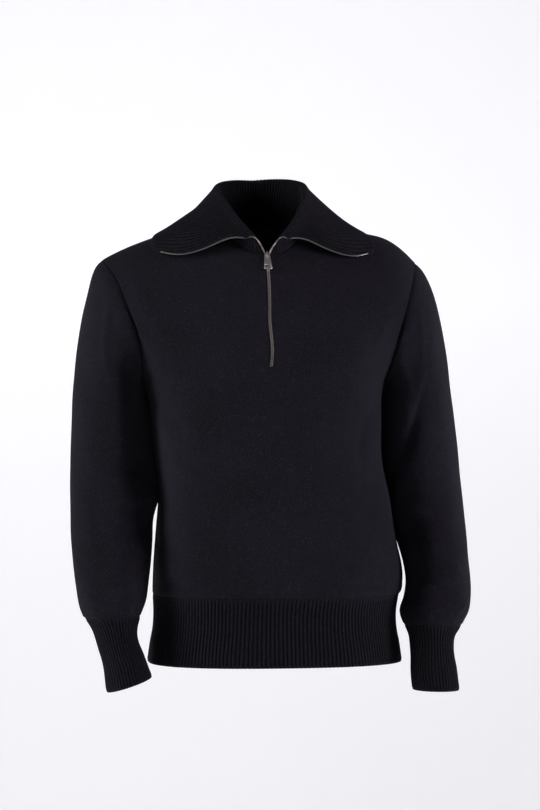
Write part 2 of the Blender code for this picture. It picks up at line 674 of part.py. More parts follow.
def collar_profile(place):
    """The collar's middle surface at places from zip to back: points by rows, foot to free edge."""
    place = np.asarray(place, float)
    neck = neck_point(place)
    row = smooth(COLLAR, place)
    fold, edge = row[..., :3], row[..., 3:]
    up = np.array([0, 0, 1.0])
    inward = unit(-neck * (1, 1, 0) - np.array([0, NECK_CENTRE_Y, 0]))
    foot = neck + inward * (NECK_GAP[0] + RIB_WALL / 2) + up * NECK_GAP[1]
    outward = unit((edge - fold) * (1, 1, 0))
    crest = fold - up * RIB_WALL / 2
    bend = (FOLD_ROUND[0] + (FOLD_ROUND[1] - FOLD_ROUND[0]) * ease(place * FRONT_BEND))[..., None]
    stand_top = crest - (outward + up) * bend
    leaf_top = crest + (outward - up) * bend
    bow = unit(np.cross(edge - leaf_top, np.cross(outward, up)))
    bow = bow * np.sign(bow[..., 2:3] + 1e-6)
    beside, below = FOLD_SHOULDER
    lines = [foot, (foot + stand_top) / 2, stand_top,
             crest - (outward * beside + up * below) * bend, crest,
             crest + (outward * beside - up * below) * bend, leaf_top]
    from_round = 1 - np.clip(place / CORNER_ALONG, 0, 1)
    reach = (1 - CORNER_CUT * (1 - np.sqrt(1 - from_round ** 2)))[..., None]
    for share in LEAF_ROWS:
        fade = 1 - ease(place / (SAG_END[0] + (SAG_END[1] - SAG_END[0]) * share))
        sag = smooth(LEAF_SAG, share)[0] * fade[..., None]
        lines.append(leaf_top + (edge - leaf_top) * share * reach - sag * np.array([0, SAG_FORWARD, 1])
                     + bow * LEAF_CROWN * np.sin(np.pi * share ** LEAF_LEAN))
    return np.stack(lines, axis=0)


def collar_grid(count):
    """The whole collar's middle surface and normals, from the right front round to the left front."""
    turn = np.linspace(-1, 1, count)
    place = 1 - np.abs(turn)
    grid = collar_profile(place)
    share = np.linspace(0, 1, len(grid))[:, None]
    half = np.where(turn > 0, 1, 0)
    raised = np.sin(np.pi * place) * ease(share / STAND_SHARE)
    grid[..., 2] += np.take(COLLAR_LIFT, half) * raised
    grid[..., 0] -= np.take(COLLAR_DRAW, half) * raised
    grid[..., 0] *= np.sign(turn + 1e-9)
    grid[..., 0] += ZIP_X
    return grid, grid_normals(grid, flip=True)


def make_collar(finish):
    fine, fine_normals = collar_grid(COLLAR_RIBS * 2 + 1)
    plain, plain_normals = collar_grid(COLLAR_INSIDE)
    plain_normals[:, [0, -1]] = fine_normals[:, [0, -1]]
    relief = (RIB_WALL / 2 + ridges(COLLAR_RIBS))[None, :, None]
    leaf = fine[FOLD_START:] + fine_normals[FOLD_START:] * relief
    stand = plain[:FOLD_START] + plain_normals[:FOLD_START] * RIB_WALL / 2
    under = plain - plain_normals * RIB_WALL / 2
    return ribbed_wall("collar", [stand, leaf], under, finish)


def make_zip_tape(name, side, finish):
    """One row of the zip: up the slit, then along the collar's front edge over its fold."""
    height = np.linspace(SLIT_END + TAPE_START, FRONT_NECK, TAPE_ROWS)
    out = 0 * height + SLIT_HALF
    low = body_point(-1, out, height)
    low[:, 0] = ZIP_X + side * TAPE_MIDDLE
    slope = np.gradient(low, axis=0)
    slit_normals = unit(np.stack([0 * height, -slope[:, 2], slope[:, 1]], axis=-1))
    low -= slit_normals * (TAPE_THICK / 2 + SEAM_GAP)
    collar, collar_normals = collar_grid(COLLAR_RIBS * 2 + 1)
    end = -1 if side > 0 else 0
    edge, face = collar[:, end], -collar_normals[:, end]
    away = unit(np.cross(np.gradient(edge, axis=0), face))
    away *= np.sign((away * (edge - collar[:, end - side])).sum())
    clear = np.interp(np.arange(len(edge)), TAPE_TURN, (0, TAPE_CLEAR, TAPE_CLEAR, 0))[:, None]
    path = np.concatenate([low[:-1], edge + away * (SEAM_GAP + TAPE_WIDE / 2 + clear)])
    across = np.concatenate([np.tile([-float(side), 0, 0], (len(low) - 1, 1)), away])
    normals = np.concatenate([slit_normals[:-1], face])
    corners = [path + across * TAPE_WIDE / 2 * a + normals * TAPE_THICK / 2 * b
               for a, b in ((-1, -1), (1, -1), (1, 1), (-1, 1))]
    points = np.stack(corners, axis=1).reshape(-1, 3)
    faces = quads(len(path), 4, around=True)
    faces += [(3, 2, 1, 0), tuple(len(points) - 4 + index for index in range(4))]
    return make_object(name, points, faces, finish)


def box_points(low, high):
    """The eight corners of a block between its low and its high corner."""
    return [np.array([x, y, z]) for x in (low[0], high[0]) for y in (low[1], high[1])
            for z in (low[2], high[2])]


def add_block(name, low, high, finish=None):
    """A block between two corners. Without a finish it only shapes another piece."""
    faces = [(0, 1, 3, 2), (4, 6, 7, 5), (0, 4, 5, 1), (2, 3, 7, 6), (0, 2, 6, 4), (1, 5, 7, 3)]
    block = make_object(name, box_points(low, high), faces, finish or METAL)
    if finish is None:
        block.hide_render = True
        block.display_type = "WIRE"
    return block


def combine(target, other, operation):
    """Join another block to a piece, or cut it out, and keep the result as the piece's own mesh."""
    change = target.modifiers.new(operation.title(), "BOOLEAN")
    change.operation = operation
    change.solver = "EXACT"
    change.object = other
    other.parent = target


def hang_on_zip(piece):
    """Place a zip piece modelled round its hinge at the top of the slit, tilted with the chest."""
    piece.location = [value * MM for value in hinge_place()]
    piece.rotation_euler = (hinge_tilt(), 0, 0)


def hinge_tilt():
    """Slope of the chest at the top of the zip."""
    heights = np.array([FRONT_NECK - CHEST_SPAN, FRONT_NECK], float)
    depths = body_depth(-1, np.array([SLIT_HALF, SLIT_HALF]), heights)
    return -float(np.arctan2(depths[1] - depths[0], heights[1] - heights[0]))


def hinge_place():
    tilt = hinge_tilt()
    start = body_point(-1, np.array(SLIT_HALF), np.array(float(FRONT_NECK)))
    y = float(start[1]) - HINGE_PROUD * np.cos(tilt) + HINGE_BELOW * np.sin(tilt)
    z = float(start[2]) - HINGE_PROUD * np.sin(tilt) - HINGE_BELOW * np.cos(tilt)
    return ZIP_X, y, z


def make_slider():
    """The slider: a plate before and behind the teeth, a post between them, and a bridge for the pull."""
    slider = add_block("zip_slider", *SLIDER_FACE, METAL)
    for name, low, high in SLIDER_PARTS:
        combine(slider, add_block(name, low, high), "UNION")
    hang_on_zip(slider)
    return slider


def make_pull():
    """The pull tab: a long trapezoid with an eye round the bridge and a window near its wide end."""
    cut_across, cut_along = PULL_CORNER
    half = ((PULL_TOP / 2, PULL_ABOVE), (PULL_END / 2, cut_along - PULL_LONG),
            (PULL_END / 2 - cut_across, -PULL_LONG))
    outline = half + tuple((-x, z) for x, z in half[::-1])
    points = [np.array([x, y, z]) for y in (-PULL_THICK / 2, PULL_THICK / 2) for x, z in outline]
    count = len(outline)
    faces = [tuple(range(count)), tuple(range(2 * count - 1, count - 1, -1))]
    faces += [(i, (i + 1) % count, (i + 1) % count + count, i + count) for i in range(count)]
    pull = make_object("zip_pull", points, faces, METAL)
    combine(pull, add_block("pull_eye", *PULL_EYE), "DIFFERENCE")
    combine(pull, add_block("pull_window", *PULL_WINDOW), "DIFFERENCE")
    hang_on_zip(pull)
    return pull


def clear_scene():
    for item in list(bpy.data.objects):
        bpy.data.objects.remove(item)


clear_scene()
make_panel("front", -1, FRONT_FOLDS, WOOL)
make_panel("back", 1, BACK_FOLDS, WOOL)
make_sleeve("sleeve_right", -1, SLEEVE_RIGHT, SLEEVE_FOLDS_RIGHT, WOOL)
make_sleeve("sleeve_left", 1, SLEEVE_LEFT, SLEEVE_FOLDS_LEFT, WOOL)
make_cuff("cuff_right", -1, CUFF_RIGHT, RIB)
make_cuff("cuff_left", 1, CUFF_LEFT, RIB)
make_hem("hem_rib_front", -1, RIB)
make_hem("hem_rib_back", 1, RIB)
make_collar(RIB)
make_zip_tape("zip_tape_right", -1, TAPE)
make_zip_tape("zip_tape_left", 1, TAPE)
make_slider()
make_pull()
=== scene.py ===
"""Looks of a half-zip pullover in fine wool: knitted shells, ribs, seams, zip and stage.

Heights are measured from the base of the neck. The front faces -Y and the wearer's left side is +X.
Tables are in millimetres, and the shapes repeat those of the part's solids in finer steps.
"""

import bmesh
import bpy
import numpy as np
from bpy.props import FloatProperty, FloatVectorProperty, PointerProperty
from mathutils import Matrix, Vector


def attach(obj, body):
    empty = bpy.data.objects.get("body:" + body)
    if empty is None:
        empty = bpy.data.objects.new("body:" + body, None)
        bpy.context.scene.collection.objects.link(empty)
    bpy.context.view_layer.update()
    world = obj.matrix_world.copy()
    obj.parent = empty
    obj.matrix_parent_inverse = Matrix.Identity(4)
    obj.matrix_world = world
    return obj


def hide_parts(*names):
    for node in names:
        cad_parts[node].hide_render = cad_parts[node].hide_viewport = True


bl_info = {
    "name": "Half-zip pullover",
    "version": (1, 0, 0),
    "blender": (4, 5, 0),
    "location": "3D View > Sidebar > Pullover",
    "description": "Builds the knitted shells, seams, zip and stage of a half-zip pullover",
    "category": "Object",
}

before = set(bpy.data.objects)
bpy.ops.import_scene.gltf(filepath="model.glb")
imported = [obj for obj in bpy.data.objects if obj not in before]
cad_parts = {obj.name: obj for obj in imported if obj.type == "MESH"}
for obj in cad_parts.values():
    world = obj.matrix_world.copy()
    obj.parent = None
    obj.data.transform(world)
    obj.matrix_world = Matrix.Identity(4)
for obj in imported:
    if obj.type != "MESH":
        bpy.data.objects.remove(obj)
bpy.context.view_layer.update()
GARMENT = "garment"
PULL = "pull"

MM = 0.001
NECK_GAP = (0.2, 0.4)   # of the collar from the neck edge, inwards and upwards
JERSEY = 2.0            # wall of the plain knit
RIB_WALL = 2.0          # wall of the rib under its ridges
SOLID_WALL = 2.4        # by which a sleeve's outer face lies outside its sections
CUFF_OUT = 1.5          # by which a cuff's grooves lie outside its sections

# Body, as sections: half the width, the middle's place in x, and the depth forward and back.
# Above the armpit the half width is that of the whole chest, which the armhole cuts.
TORSO = (
    # height, half width, middle x, front depth, back depth
    (40, 270, -5, 96, 88),
    (0, 268, -5, 100, 92),
    (-60, 262, -5, 109, 110),
    (-96, 252, -2, 118, 120),
    (-125, 246, -1, 125, 124),
    (-160, 237, 0, 131, 126),
    (-190, 221, 1, 134, 126),
    (-220, 200, 1, 136, 122),
    (-250, 185, 1, 136, 118),
    (-280, 180, 2, 133, 113),
    (-310, 177, 4, 131, 109),
    (-370, 173, 8, 126, 104),
    (-430, 176, 18, 124, 105),
    (-492, 183, 21, 126, 111),
    (-553, 190, 24, 131, 118),
    (-567, 189, 23, 131, 118),
    (-574, 186, 21, 128, 115),
    (-586, 184, 20, 125, 112),
    (-624, 184, 19, 125, 112),
    (-646, 188, 19, 127, 114),
    (-674, 192, 19, 130, 117),
)
ARMHOLE = (
    # height, distance from the body's middle
    (-70, 240),
    (-92, 229),
    (-115, 220),
    (-140, 211),
    (-168, 201),
    (-190, 194.5),
    (-217, 189.5),
    (-250, 185),
)
NECK_CURVE = 2.5        # squareness of the neck edge
NECK_CENTRE_Y = 0       # of the neck opening
MIDDLE_DIP = 20         # how far the armpit's row of points hangs at the middle
SLIT_ROWS = 6
LOWER_ROWS = (-285, -322, -360, -400, -440, -480, -518, -548, -566, -574)
SECTION_POWER = 2.5     # roundness of the body's sections, where 2 is an ellipse
NECK_HALF = 75          # from the neck's middle to the shoulder seam's top
SHOULDER_TIP = 240
SHOULDER_DROP = 70
SHOULDER_ROUND = (4, 17)    # how far the right and the left shoulder bow up between neck and tip
SHOULDER_BIAS = 2.2         # above 1, the bow is greatest towards the tip
ARMPIT = -250
FRONT_NECK = -62        # lowest point of the front neck edge
BACK_NECK = -12
HEM_SEAM = -574
HEM_END = -674
NECK_COLUMNS = (6, 4)   # of the front's and the back's points, from the middle to the neck's corner
SHOULDER_COLUMNS = 7
FRONT_FALL = (220, 110)     # how far below the seam line full depth is reached, at neck and tip
BACK_FALL = (160, 110)

# Zip
ZIP_X = -5
SLIT_HALF = 2.5
SLIT_END = -231
ZIP_FADE_END = -430     # height at which the front's middle is the body's own again
TAPE_WIDE = 2.0         # one row of teeth with its tape
TAPE_THICK = 1.6
TAPE_MIDDLE = 1.2       # from the zip's middle line
TAPE_START = 1.0        # above the slit's end

# Sleeves, as sections from the armhole to the cuff, each from its outer to its inner point.
SLEEVE_RIGHT = (
    # station, outer x, outer z, inner x, inner z, middle y, half depth
    (0, -240, -70, -184, -250, 0, 72),
    (1, -252.5, -91, -188.5, -260, 1, 73),
    (2, -262, -121, -186, -272, 2, 73),
    (3, -271, -158, -182, -287, 4, 71),
    (4, -277.5, -200, -178, -305, 6, 69),
    (5, -282.5, -249, -173.5, -329, 9, 67),
    (6, -285.5, -298, -170, -356, 11, 65),
    (7, -287.5, -347, -166, -386, 11, 63),
    (8, -288.5, -394, -163, -420, 8, 61),
    (9, -289, -440, -168, -453, 1, 59),
    (10, -288, -481, -171, -487, -12, 57),
    (11, -286.5, -516, -174.5, -519, -26, 55),
    (12, -284, -548, -179, -548, -38, 52),
    (13, -281, -573, -183, -572, -48, 48),
    (14, -277.5, -589, -188, -587, -55, 43),
    (15, -271.5, -602, -194, -600, -60, 37.5),
)
SLEEVE_LEFT = (
    # station, outer x, outer z, inner x, inner z, middle y, half depth
    (0, 240, -70, 186, -250, 0, 72),
    (1, 253, -91, 190, -260, 1, 73),
    (2, 264.5, -121, 189, -272, 2, 73),
    (3, 273, -158, 188, -287, 4, 71),
    (4, 281, -200, 187, -305, 6, 69),
    (5, 288, -249, 187, -329, 9, 67),
    (6, 294.5, -298, 188, -356, 11, 65),
    (7, 300.5, -347, 190.5, -386, 11, 63),
    (8, 305.5, -395, 195.5, -420, 8, 61),
    (9, 308.5, -441, 201, -453, 1, 59),
    (10, 310.5, -482, 207.5, -488, -12, 57),
    (11, 310.5, -518, 215, -521, -28, 54),
    (12, 310, -550, 217.5, -551, -41, 50),
    (13, 308.5, -577, 212.5, -576, -51, 46),
    (14, 304.5, -598, 205, -597, -57, 42),
    (15, 292, -618, 210, -617, -63, 37.5),
)
CUFF_RIGHT = (
    # station, outer x, outer z, inner x, inner z, middle y, half depth
    (0, -271.5, -602, -194, -600, -60, 37.5),
    (1, -259, -622, -198, -619, -66, 35),
    (2, -251.5, -647, -197, -638, -73, 34),
    (3, -245, -675, -189, -660, -81, 35),
    (4, -241, -709, -178.5, -688, -88, 36.5),
)
CUFF_LEFT = (
    # station, outer x, outer z, inner x, inner z, middle y, half depth
    (0, 292, -618, 210, -617, -63, 37.5),
    (1, 281, -636, 217, -635, -69, 35),
    (2, 278, -661, 218, -660, -77, 34),
    (3, 280.5, -685, 216, -684, -85, 34.5),
    (4, 283.5, -713, 218, -712, -90, 36),
)
ARM_SIDES = 20          # facets round a sleeve
ARMHOLE_BLEND = 3       # stations over which the armhole's outline becomes the sleeve's own
ARMHOLE_FACING = (0.6, 0.25, 0.75)  # how the seam faces: outwards at its top and sides, and upwards
SLEEVE_ROWS = (0, 0.5, 1, 1.6, 2.3, 3, 4, 5, 6, 7, 8, 9, 10, 11, 12, 13, 14, 15)
SLEEVE_SWELL = 0.5      # stations over which the wall comes out from the armhole's seam
SLEEVE_CALM = (1.5, 1.0)    # stations from the armhole and from the cuff over which folds fade out

# Collar, from the zip (0) to the middle of the back (1): the fold's crest and the free edge,
# both measured from the neck's middle.
COLLAR = (
    # place, fold x, fold y, fold z, edge x, edge y, edge z
    (0.00, 23, -96, -34, 167, -62, -54),
    (0.08, 35, -91, -23, 169, -44, -44),
    (0.18, 48, -78, -8, 165, -24, -36),
    (0.30, 60, -56, 11, 158, 0, -30),
    (0.43, 68, -28, 28, 147, 30, -31),
    (0.55, 70, 0, 40, 130, 54, -39),
    (0.67, 65, 27, 48, 106, 76, -48),
    (0.79, 50, 50, 55, 74, 93, -55),
    (0.90, 27, 64, 59, 38, 103, -59),
    (1.00, 0, 69, 60, 0, 107, -61),
)
FOLD_ROUND = (7.5, 5.5) # radius of the collar's fold, at the zip and at the back
FRONT_BEND = 3          # how fast the fold's radius grows from the zip to the back
COLLAR_LIFT = (2, 9)    # how much the wearer's right and left half of the leaf are raised
COLLAR_DRAW = (6, 0)    # how much nearer to the neck each half's leaf lies
CORNER_CUT = 0.085      # share of the leaf's length that its rounded front corner takes off
CORNER_ALONG = 0.055    # place along the collar where the rounding ends
LEAF_SAG = (
    # share of the way from fold to corner, how far the leaf's front edge hangs below that line
    (0.0, 0),
    (0.12, -6),
    (0.26, 0),
    (0.44, 9),
    (0.64, 15),
    (0.84, 14.5),
    (1.0, 7),
)
SAG_FORWARD = 0.55      # share of the sag by which the edge comes forward over the chest
SAG_END = (0.3, 0.06)   # place along the collar where the sag has faded out, at fold and free edge
NECK_LEAD = 0.85        # below 1, the collar's ribs lean forward from the neck seam to the fold
LEAF_CROWN = 5          # how far the leaf bows out between its fold and its edge
LEAF_LEAN = 0.7         # below 1, the bow is greatest towards the free edge
STAND_SHARE = 0.25      # share of its profile over which COLLAR_LIFT and COLLAR_DRAW set in
CUFF_RIBS = 48
HEM_RIBS = 94           # on the front, and as many on the back

# Largest folds and hollows of the cloth. On the body: place along x and height of both ends.
FOLD_SLOPE = 1.6        # steepness of a fold's sides
FOLD_TAPER = 0.6        # below 1, a fold keeps its height nearly to its ends
FOLD_TIP = 0.02         # share of a fold's length at which its end is cut
FOLD_CALM = 20          # height above the hem seam over which folds fade out
FRONT_FOLDS = (
    # start x, start z, end x, end z, half width, height (a hollow is negative)
    (-150, -548, -85, -556, 17, -3.5),
    (-165, -480, -120, -520, 24, -3.0),
    (-120, -562, -40, -566, 14, 2.2),
    (120, -545, 175, -556, 18, -3.0),
    (135, -430, 178, -500, 26, -3.5),
    (-178, -262, -110, -330, 30, -3.0),
    (176, -262, 120, -345, 30, -3.5),
    (-60, -120, -25, -215, 26, -1.8),
    (18, -240, 60, -330, 30, 1.8),
)
BACK_FOLDS = (
    # start x, start z, end x, end z, half width, height (a hollow is negative)
    (-140, -430, 20, -452, 24, -3.5),
    (-20, -480, 150, -462, 24, -3.5),
    (-120, -540, -30, -552, 20, 3.0),
    (60, -538, 150, -550, 20, 3.0),
    (-178, -265, -100, -350, 30, -3.5),
    (178, -265, 95, -360, 30, -3.5),
)
# On a sleeve: the angle round it (0 outside, 90 front, 180 inside) and the station of both ends.
SLEEVE_FOLDS_RIGHT = (
    # start angle, start station, end angle, end station, half width, height
    (95, 1.8, 70, 4.2, 22, 3.0),
    (130, 1.5, 105, 4.5, 20, -3.5),
    (150, 6.2, 95, 7.8, 20, -4.5),
    (160, 8.0, 100, 8.8, 20, 4.0),
    (165, 9.4, 85, 10.2, 22, -4.0),
    (60, 11.6, 130, 12.4, 20, 3.0),
    (215, 6.4, 280, 7.6, 22, -4.0),
    (210, 8.8, 270, 9.6, 22, -3.5),
    (235, 12.0, 300, 12.6, 20, 3.0),
)
SLEEVE_FOLDS_LEFT = (
    # start angle, start station, end angle, end station, half width, height
    (110, 0.8, 80, 4.0, 22, -3.0),
    (85, 4.6, 150, 7.6, 20, -4.5),
    (120, 6.6, 160, 9.0, 18, 4.0),
    (80, 9.0, 165, 10.2, 22, -4.0),
    (55, 11.4, 140, 12.6, 20, 3.5),
    (60, 13.0, 120, 13.4, 14, -2.5),
    (215, 6.0, 285, 7.4, 22, -4.0),
    (205, 9.0, 265, 9.8, 22, -3.5),
    (235, 12.2, 300, 12.8, 20, 3.0),
)
STATION_PITCH = 40      # mean distance between two sleeve stations
SLEEVE_ROUND = 62       # mean radius of a sleeve, for measuring along its girth
UNDER_ROUND = 0.8       # share of that radius by which distances from the seam below are measured

COLLAR_RIBS = 108
FINE = 6                # steps of the shells for each step of the solids
STAND_ROWS = 9
FOLD_ROWS = 9
LEAF_STEPS = 22
RIB_STEPS = 8           # points across one rib
CUFF_STEPS = 34
HEM_STEPS = 30
RIM_STEPS = 3           # points round the edge of a wall

CALM_SIDE = 14          # distance from a panel's side over which fine creases fade out
CALM_TOP = 16           # the same from its neck and shoulder edge
CALM_ARMHOLE = 18       # the same from a sleeve's armhole
CALM_RIB = 8            # the same from a rib's seam
EDGE_TURN = 5           # columns over which a panel's wall turns to face the seam at its side
SLIT_SWELL = (0.5, 3.2, 2.2, 1.1)   # beside the slit: height, place, width, and the dip's width
RIB_SHARP = 2.2         # above 2, a rib's grooves are narrower than its ridges
RIB_INSIDE = 0.5        # height of the ribs on a wall's inner side
RIB_START = 0.35        # share of their height that ribs have at a seam or a free edge
COLLAR_RAISE = 0.45     # by which the collar's ribs lie outside its middle surface

# Finer creases than the solids have. Their line bows sideways by the last column at its middle.
FRONT_CREASES = (
    # start x, start z, end x, end z, half width, height, bow
    (-168, -556, -118, -560, 7, -1.8, 5),
    (-150, -534, -96, -546, 8, 1.6, -6),
    (-128, -568, -84, -552, 6, -1.5, 4),
    (-92, -560, -30, -567, 7, -1.2, 4),
    (20, -566, 88, -556, 7, -1.2, -5),
    (96, -548, 168, -560, 9, 1.6, 7),
    (128, -524, 176, -540, 8, -1.4, 4),
    (-176, -276, -128, -356, 9, -1.6, 12),
    (-170, -300, -140, -392, 8, 1.1, 8),
    (-186, -236, -120, -262, 9, -1.5, -8),
    (180, -238, 128, -270, 10, -1.6, 9),
    (176, -276, 134, -372, 10, -1.7, -14),
    (170, -318, 146, -410, 8, 1.1, -9),
    (-188, -150, -152, -214, 9, 1.0, 7),
    (192, -146, 156, -220, 9, 1.0, -8),
    (-30, -250, -14, -330, 13, -0.9, 5),
    (2, -244, 26, -300, 10, 0.8, -4),
    (-100, -84, -62, -146, 14, -0.9, 8),
    (86, -90, 52, -150, 14, -0.9, -8),
    (-150, -430, -70, -452, 16, -1.0, -10),
    (64, -452, 150, -420, 16, -1.0, 12),
)
BACK_CREASES = (
    # start x, start z, end x, end z, half width, height, bow
    (-150, -404, -20, -424, 12, -1.8, -10),
    (-70, -446, 96, -436, 11, 1.5, 12),
    (10, -478, 148, -452, 12, -1.7, -12),
    (-160, -500, -60, -512, 10, 1.4, 8),
    (-150, -548, -70, -562, 8, -1.6, 5),
    (-40, -556, 40, -566, 8, -1.3, -5),
    (70, -562, 160, -546, 9, 1.6, 6),
    (-176, -268, -110, -330, 10, -1.8, 10),
    (-172, -300, -138, -384, 9, 1.2, 8),
    (176, -268, 108, -336, 10, -1.8, -10),
    (172, -302, 136, -392, 9, 1.2, -8),
    (-96, -70, -40, -120, 15, -1.0, 9),
    (98, -72, 44, -124, 15, -1.0, -9),
    (-60, -170, 0, -236, 20, -0.9, 10),
    (8, -236, 70, -176, 20, -0.9, 10),
)
SLEEVE_CREASES_RIGHT = (
    # start angle, start station, end angle, end station, half width, height, bow
    (62, 1.0, 82, 4.2, 9, 1.6, 6),
    (118, 0.9, 96, 3.6, 8, -1.6, -5),
    (140, 2.0, 118, 5.2, 9, 1.3, 8),
    (158, 5.4, 104, 6.6, 9, -1.8, 8),
    (168, 7.0, 112, 7.9, 8, 1.6, -7),
    (150, 8.6, 78, 9.6, 9, -2.0, 9),
    (120, 10.2, 62, 11.0, 8, 1.5, -7),
    (168, 10.8, 118, 11.6, 8, -1.7, 6),
    (40, 12.4, 100, 13.2, 7, -1.8, 6),
    (96, 13.2, 150, 13.8, 6, 1.6, -5),
    (30, 13.8, 78, 14.3, 6, 1.3, 5),
    (222, 5.6, 268, 6.6, 9, -1.7, -7),
    (206, 7.4, 262, 8.2, 8, 1.5, 6),
    (218, 9.6, 286, 10.4, 9, -1.7, 8),
    (246, 11.2, 316, 12.0, 8, 1.5, -6),
    (262, 13.0, 324, 13.6, 7, -1.6, 5),
    (300, 2.0, 276, 4.4, 10, -1.3, 7),
    (12, 6.0, 352, 9.4, 16, -0.9, 8),
)
SLEEVE_CREASES_LEFT = (
    # start angle, start station, end angle, end station, half width, height, bow
    (66, 0.9, 84, 3.8, 9, 1.5, -6),
    (124, 1.2, 100, 4.4, 9, -1.8, 7),
    (146, 3.0, 110, 5.6, 9, 1.4, 8),
    (78, 4.0, 118, 6.6, 9, -2.0, -9),
    (160, 7.2, 108, 8.0, 8, -1.7, 8),
    (136, 8.4, 84, 9.4, 9, 1.6, -8),
    (170, 9.8, 104, 10.6, 9, -2.0, 8),
    (112, 10.8, 54, 11.8, 8, 1.7, 8),
    (132, 12.0, 70, 12.6, 7, -2.2, -6),
    (58, 12.8, 116, 13.3, 6, 1.9, 5),
    (84, 13.7, 140, 14.1, 6, -1.7, -5),
    (36, 13.2, 66, 14.2, 7, 1.3, 4),
    (224, 5.4, 272, 6.4, 9, -1.7, -7),
    (208, 7.6, 258, 8.4, 8, 1.5, 6),
    (220, 10.2, 290, 11.0, 9, -1.7, 8),
    (250, 11.6, 318, 12.4, 8, 1.5, -6),
    (264, 13.2, 322, 13.8, 7, -1.6, 5),
    (296, 1.8, 272, 4.2, 10, -1.3, 7),
    (350, 6.4, 12, 9.8, 16, -0.9, 8),
)
# Where the right sleeve rests against the body and is pressed out beside it
SLEEVE_PRESS = (
    # angle, spread in degrees, first and last station, stations over which it sets in, height
    (163, 17, 0.2, 9.4, 1.5, 6.0),
    (128, 18, 2.2, 10.6, 2.6, -6.0),
    (102, 16, 1.5, 11.5, 3.0, 2.5),
)
GATHER_PITCH = 17       # mean distance between the small puckers at a rib
GATHER_REACH = 26       # how far they run into the plain knit
GATHER_HEIGHT = 0.9
# Slow unevenness of the cloth: wave numbers across and along (per mm), phase and height
WAVES = (
    # across, along, phase, height
    (0.047, 0.021, 0.3, 0.35),
    (-0.029, 0.052, 1.9, 0.30),
    (0.083, -0.047, 4.1, 0.16),
    (0.014, 0.094, 2.6, 0.14),
    (0.121, 0.066, 5.2, 0.07),
)
SEAM_DIP = (1.3, 1.6)       # depth and half width of the groove that a sewn edge pulls in
SEAM_SWELL = (0.55, 4.2, 2.6)   # height, distance and half width of the swell beside it
SEAM_SHADE = 0.25           # how much of the grooves' painted shade a seam gets
SEAM_SHADE_WIDTH = 1.4             # half width of the painted shade along it, in its groove
SEAM_SINK = 0.9             # depth of the stitches' middle below the surface
ARMHOLE_SINK = 0.7
STITCH_PITCH = 2.3
STITCH_SIZE = (1.5, 2.7, 1.1)   # across, along and above the seam
TOOTH_PITCH = 1.7
TOOTH_SIZE = (1.9, 0.95, 1.15)  # across, along and above the tape
CHAIN_WAVE = (
    # height, how far the closed zip lies off its straight line
    (-62, 0.0),
    (-100, 0.4),
    (-135, -0.4),
    (-165, -1.2),
    (-195, 1.6),
    (-215, 1.9),
    (-231, 0.2),
)

# Wool
WOOL_SHINE = 0.035      # specular level: the nap leaves little that could shine
WOOL_ROUGH = (0.80, 0.98)   # roughness between and on the fibres
NAP_BUMP = (0.55, 0.0006)   # strength and height in metres of the fibres
STITCH_BUMP = 0.8       # strength of the stitches' relief
FLECK_SCALE = 620.0     # of the lighter fibres
FLECK_RANGE = (0.56, 0.74)  # of their noise, from where none to where all of a fibre shows
CLOUD_SHADES = (0.82, 1.18) # of the slow unevenness of the dye
STITCH_LIGHT_AND_SHADE = (1.08, 0.62)    # painted light on the strands and painted shade in the gaps between them
SHEEN_ROUGH = 0.42

# Metal
METAL_ROUGH = 0.30      # of slider and pull
TEETH_ROUGH = 0.38
SAME_POINT = 0.000002   # distance in metres below which two points of a metal piece are one
FLAT_BELOW = 2          # degrees between two facets that are joined to one
BEVEL_ABOVE = 35        # degrees between two facets whose edge is rounded
SHARP_ABOVE = 40        # degrees above which an edge is shaded sharp

# Stage and camera
CAMERA_AZIMUTH = -8     # degrees, towards the wearer's right
CAMERA_AWAY = 4000
CAMERA_ASIDE = 12.2
CAMERA_HEIGHT = -287
CAMERA_LENS = 117
CAMERA_SENSOR = 36
CAMERA_CLIP = 50        # metres
FLOOR_HEIGHT = -1500
STAGE_HALF = 9000
STAGE_DEEP = 5200
STAGE_BEND = 1600
ROOM_LIGHT = 0.06       # strength of the even light all round
ROOM_COLOUR = (0.95, 0.96, 1.0, 1)
PAPER_GLOW = 0.35       # light that the backdrop passes through from behind
LAMP_TARGET = (0, 0, -0.3)
LAMPS = (
    # name, place in metres, width and height in metres, watts, colour
    ("left_side", (-3.0, -0.45, 0.6), (1.0, 2.0), 180, (1.0, 0.98, 1.0)),
    ("right_side", (3.0, -1.3, 0.4), (1.0, 2.0), 176, (0.97, 0.92, 1.0)),
    ("right_edge", (2.2, 1.2, 0.2), (0.7, 2.0), 26, (0.86, 0.80, 1.0)),
)


def smooth(rows, at):
    """The other columns of a table at places of its first column, on a curve through its rows."""
    table = np.array(sorted(rows), float)
    key, values = table[:, 0], table[:, 1:]
    slope = np.gradient(values, key, axis=0)
    at = np.clip(np.asarray(at, float), key[0], key[-1])
    row = np.clip(np.searchsorted(key, at, side="right") - 1, 0, len(key) - 2)
    step = (key[row + 1] - key[row])[..., None]
    f = ((at - key[row])[..., None]) / step
    start = values[row] * (1 + 2 * f) * (1 - f) ** 2 + slope[row] * step * f * (1 - f) ** 2
    end = values[row + 1] * f ** 2 * (3 - 2 * f) + slope[row + 1] * step * f ** 2 * (f - 1)
    return start + end


def ease(value):
    """0 to 1 with a soft start and end."""
    value = np.clip(value, 0, 1)
    return value * value * (3 - 2 * value)


def unit(vectors):
    return vectors / np.maximum(np.linalg.norm(vectors, axis=-1, keepdims=True), 1e-9)


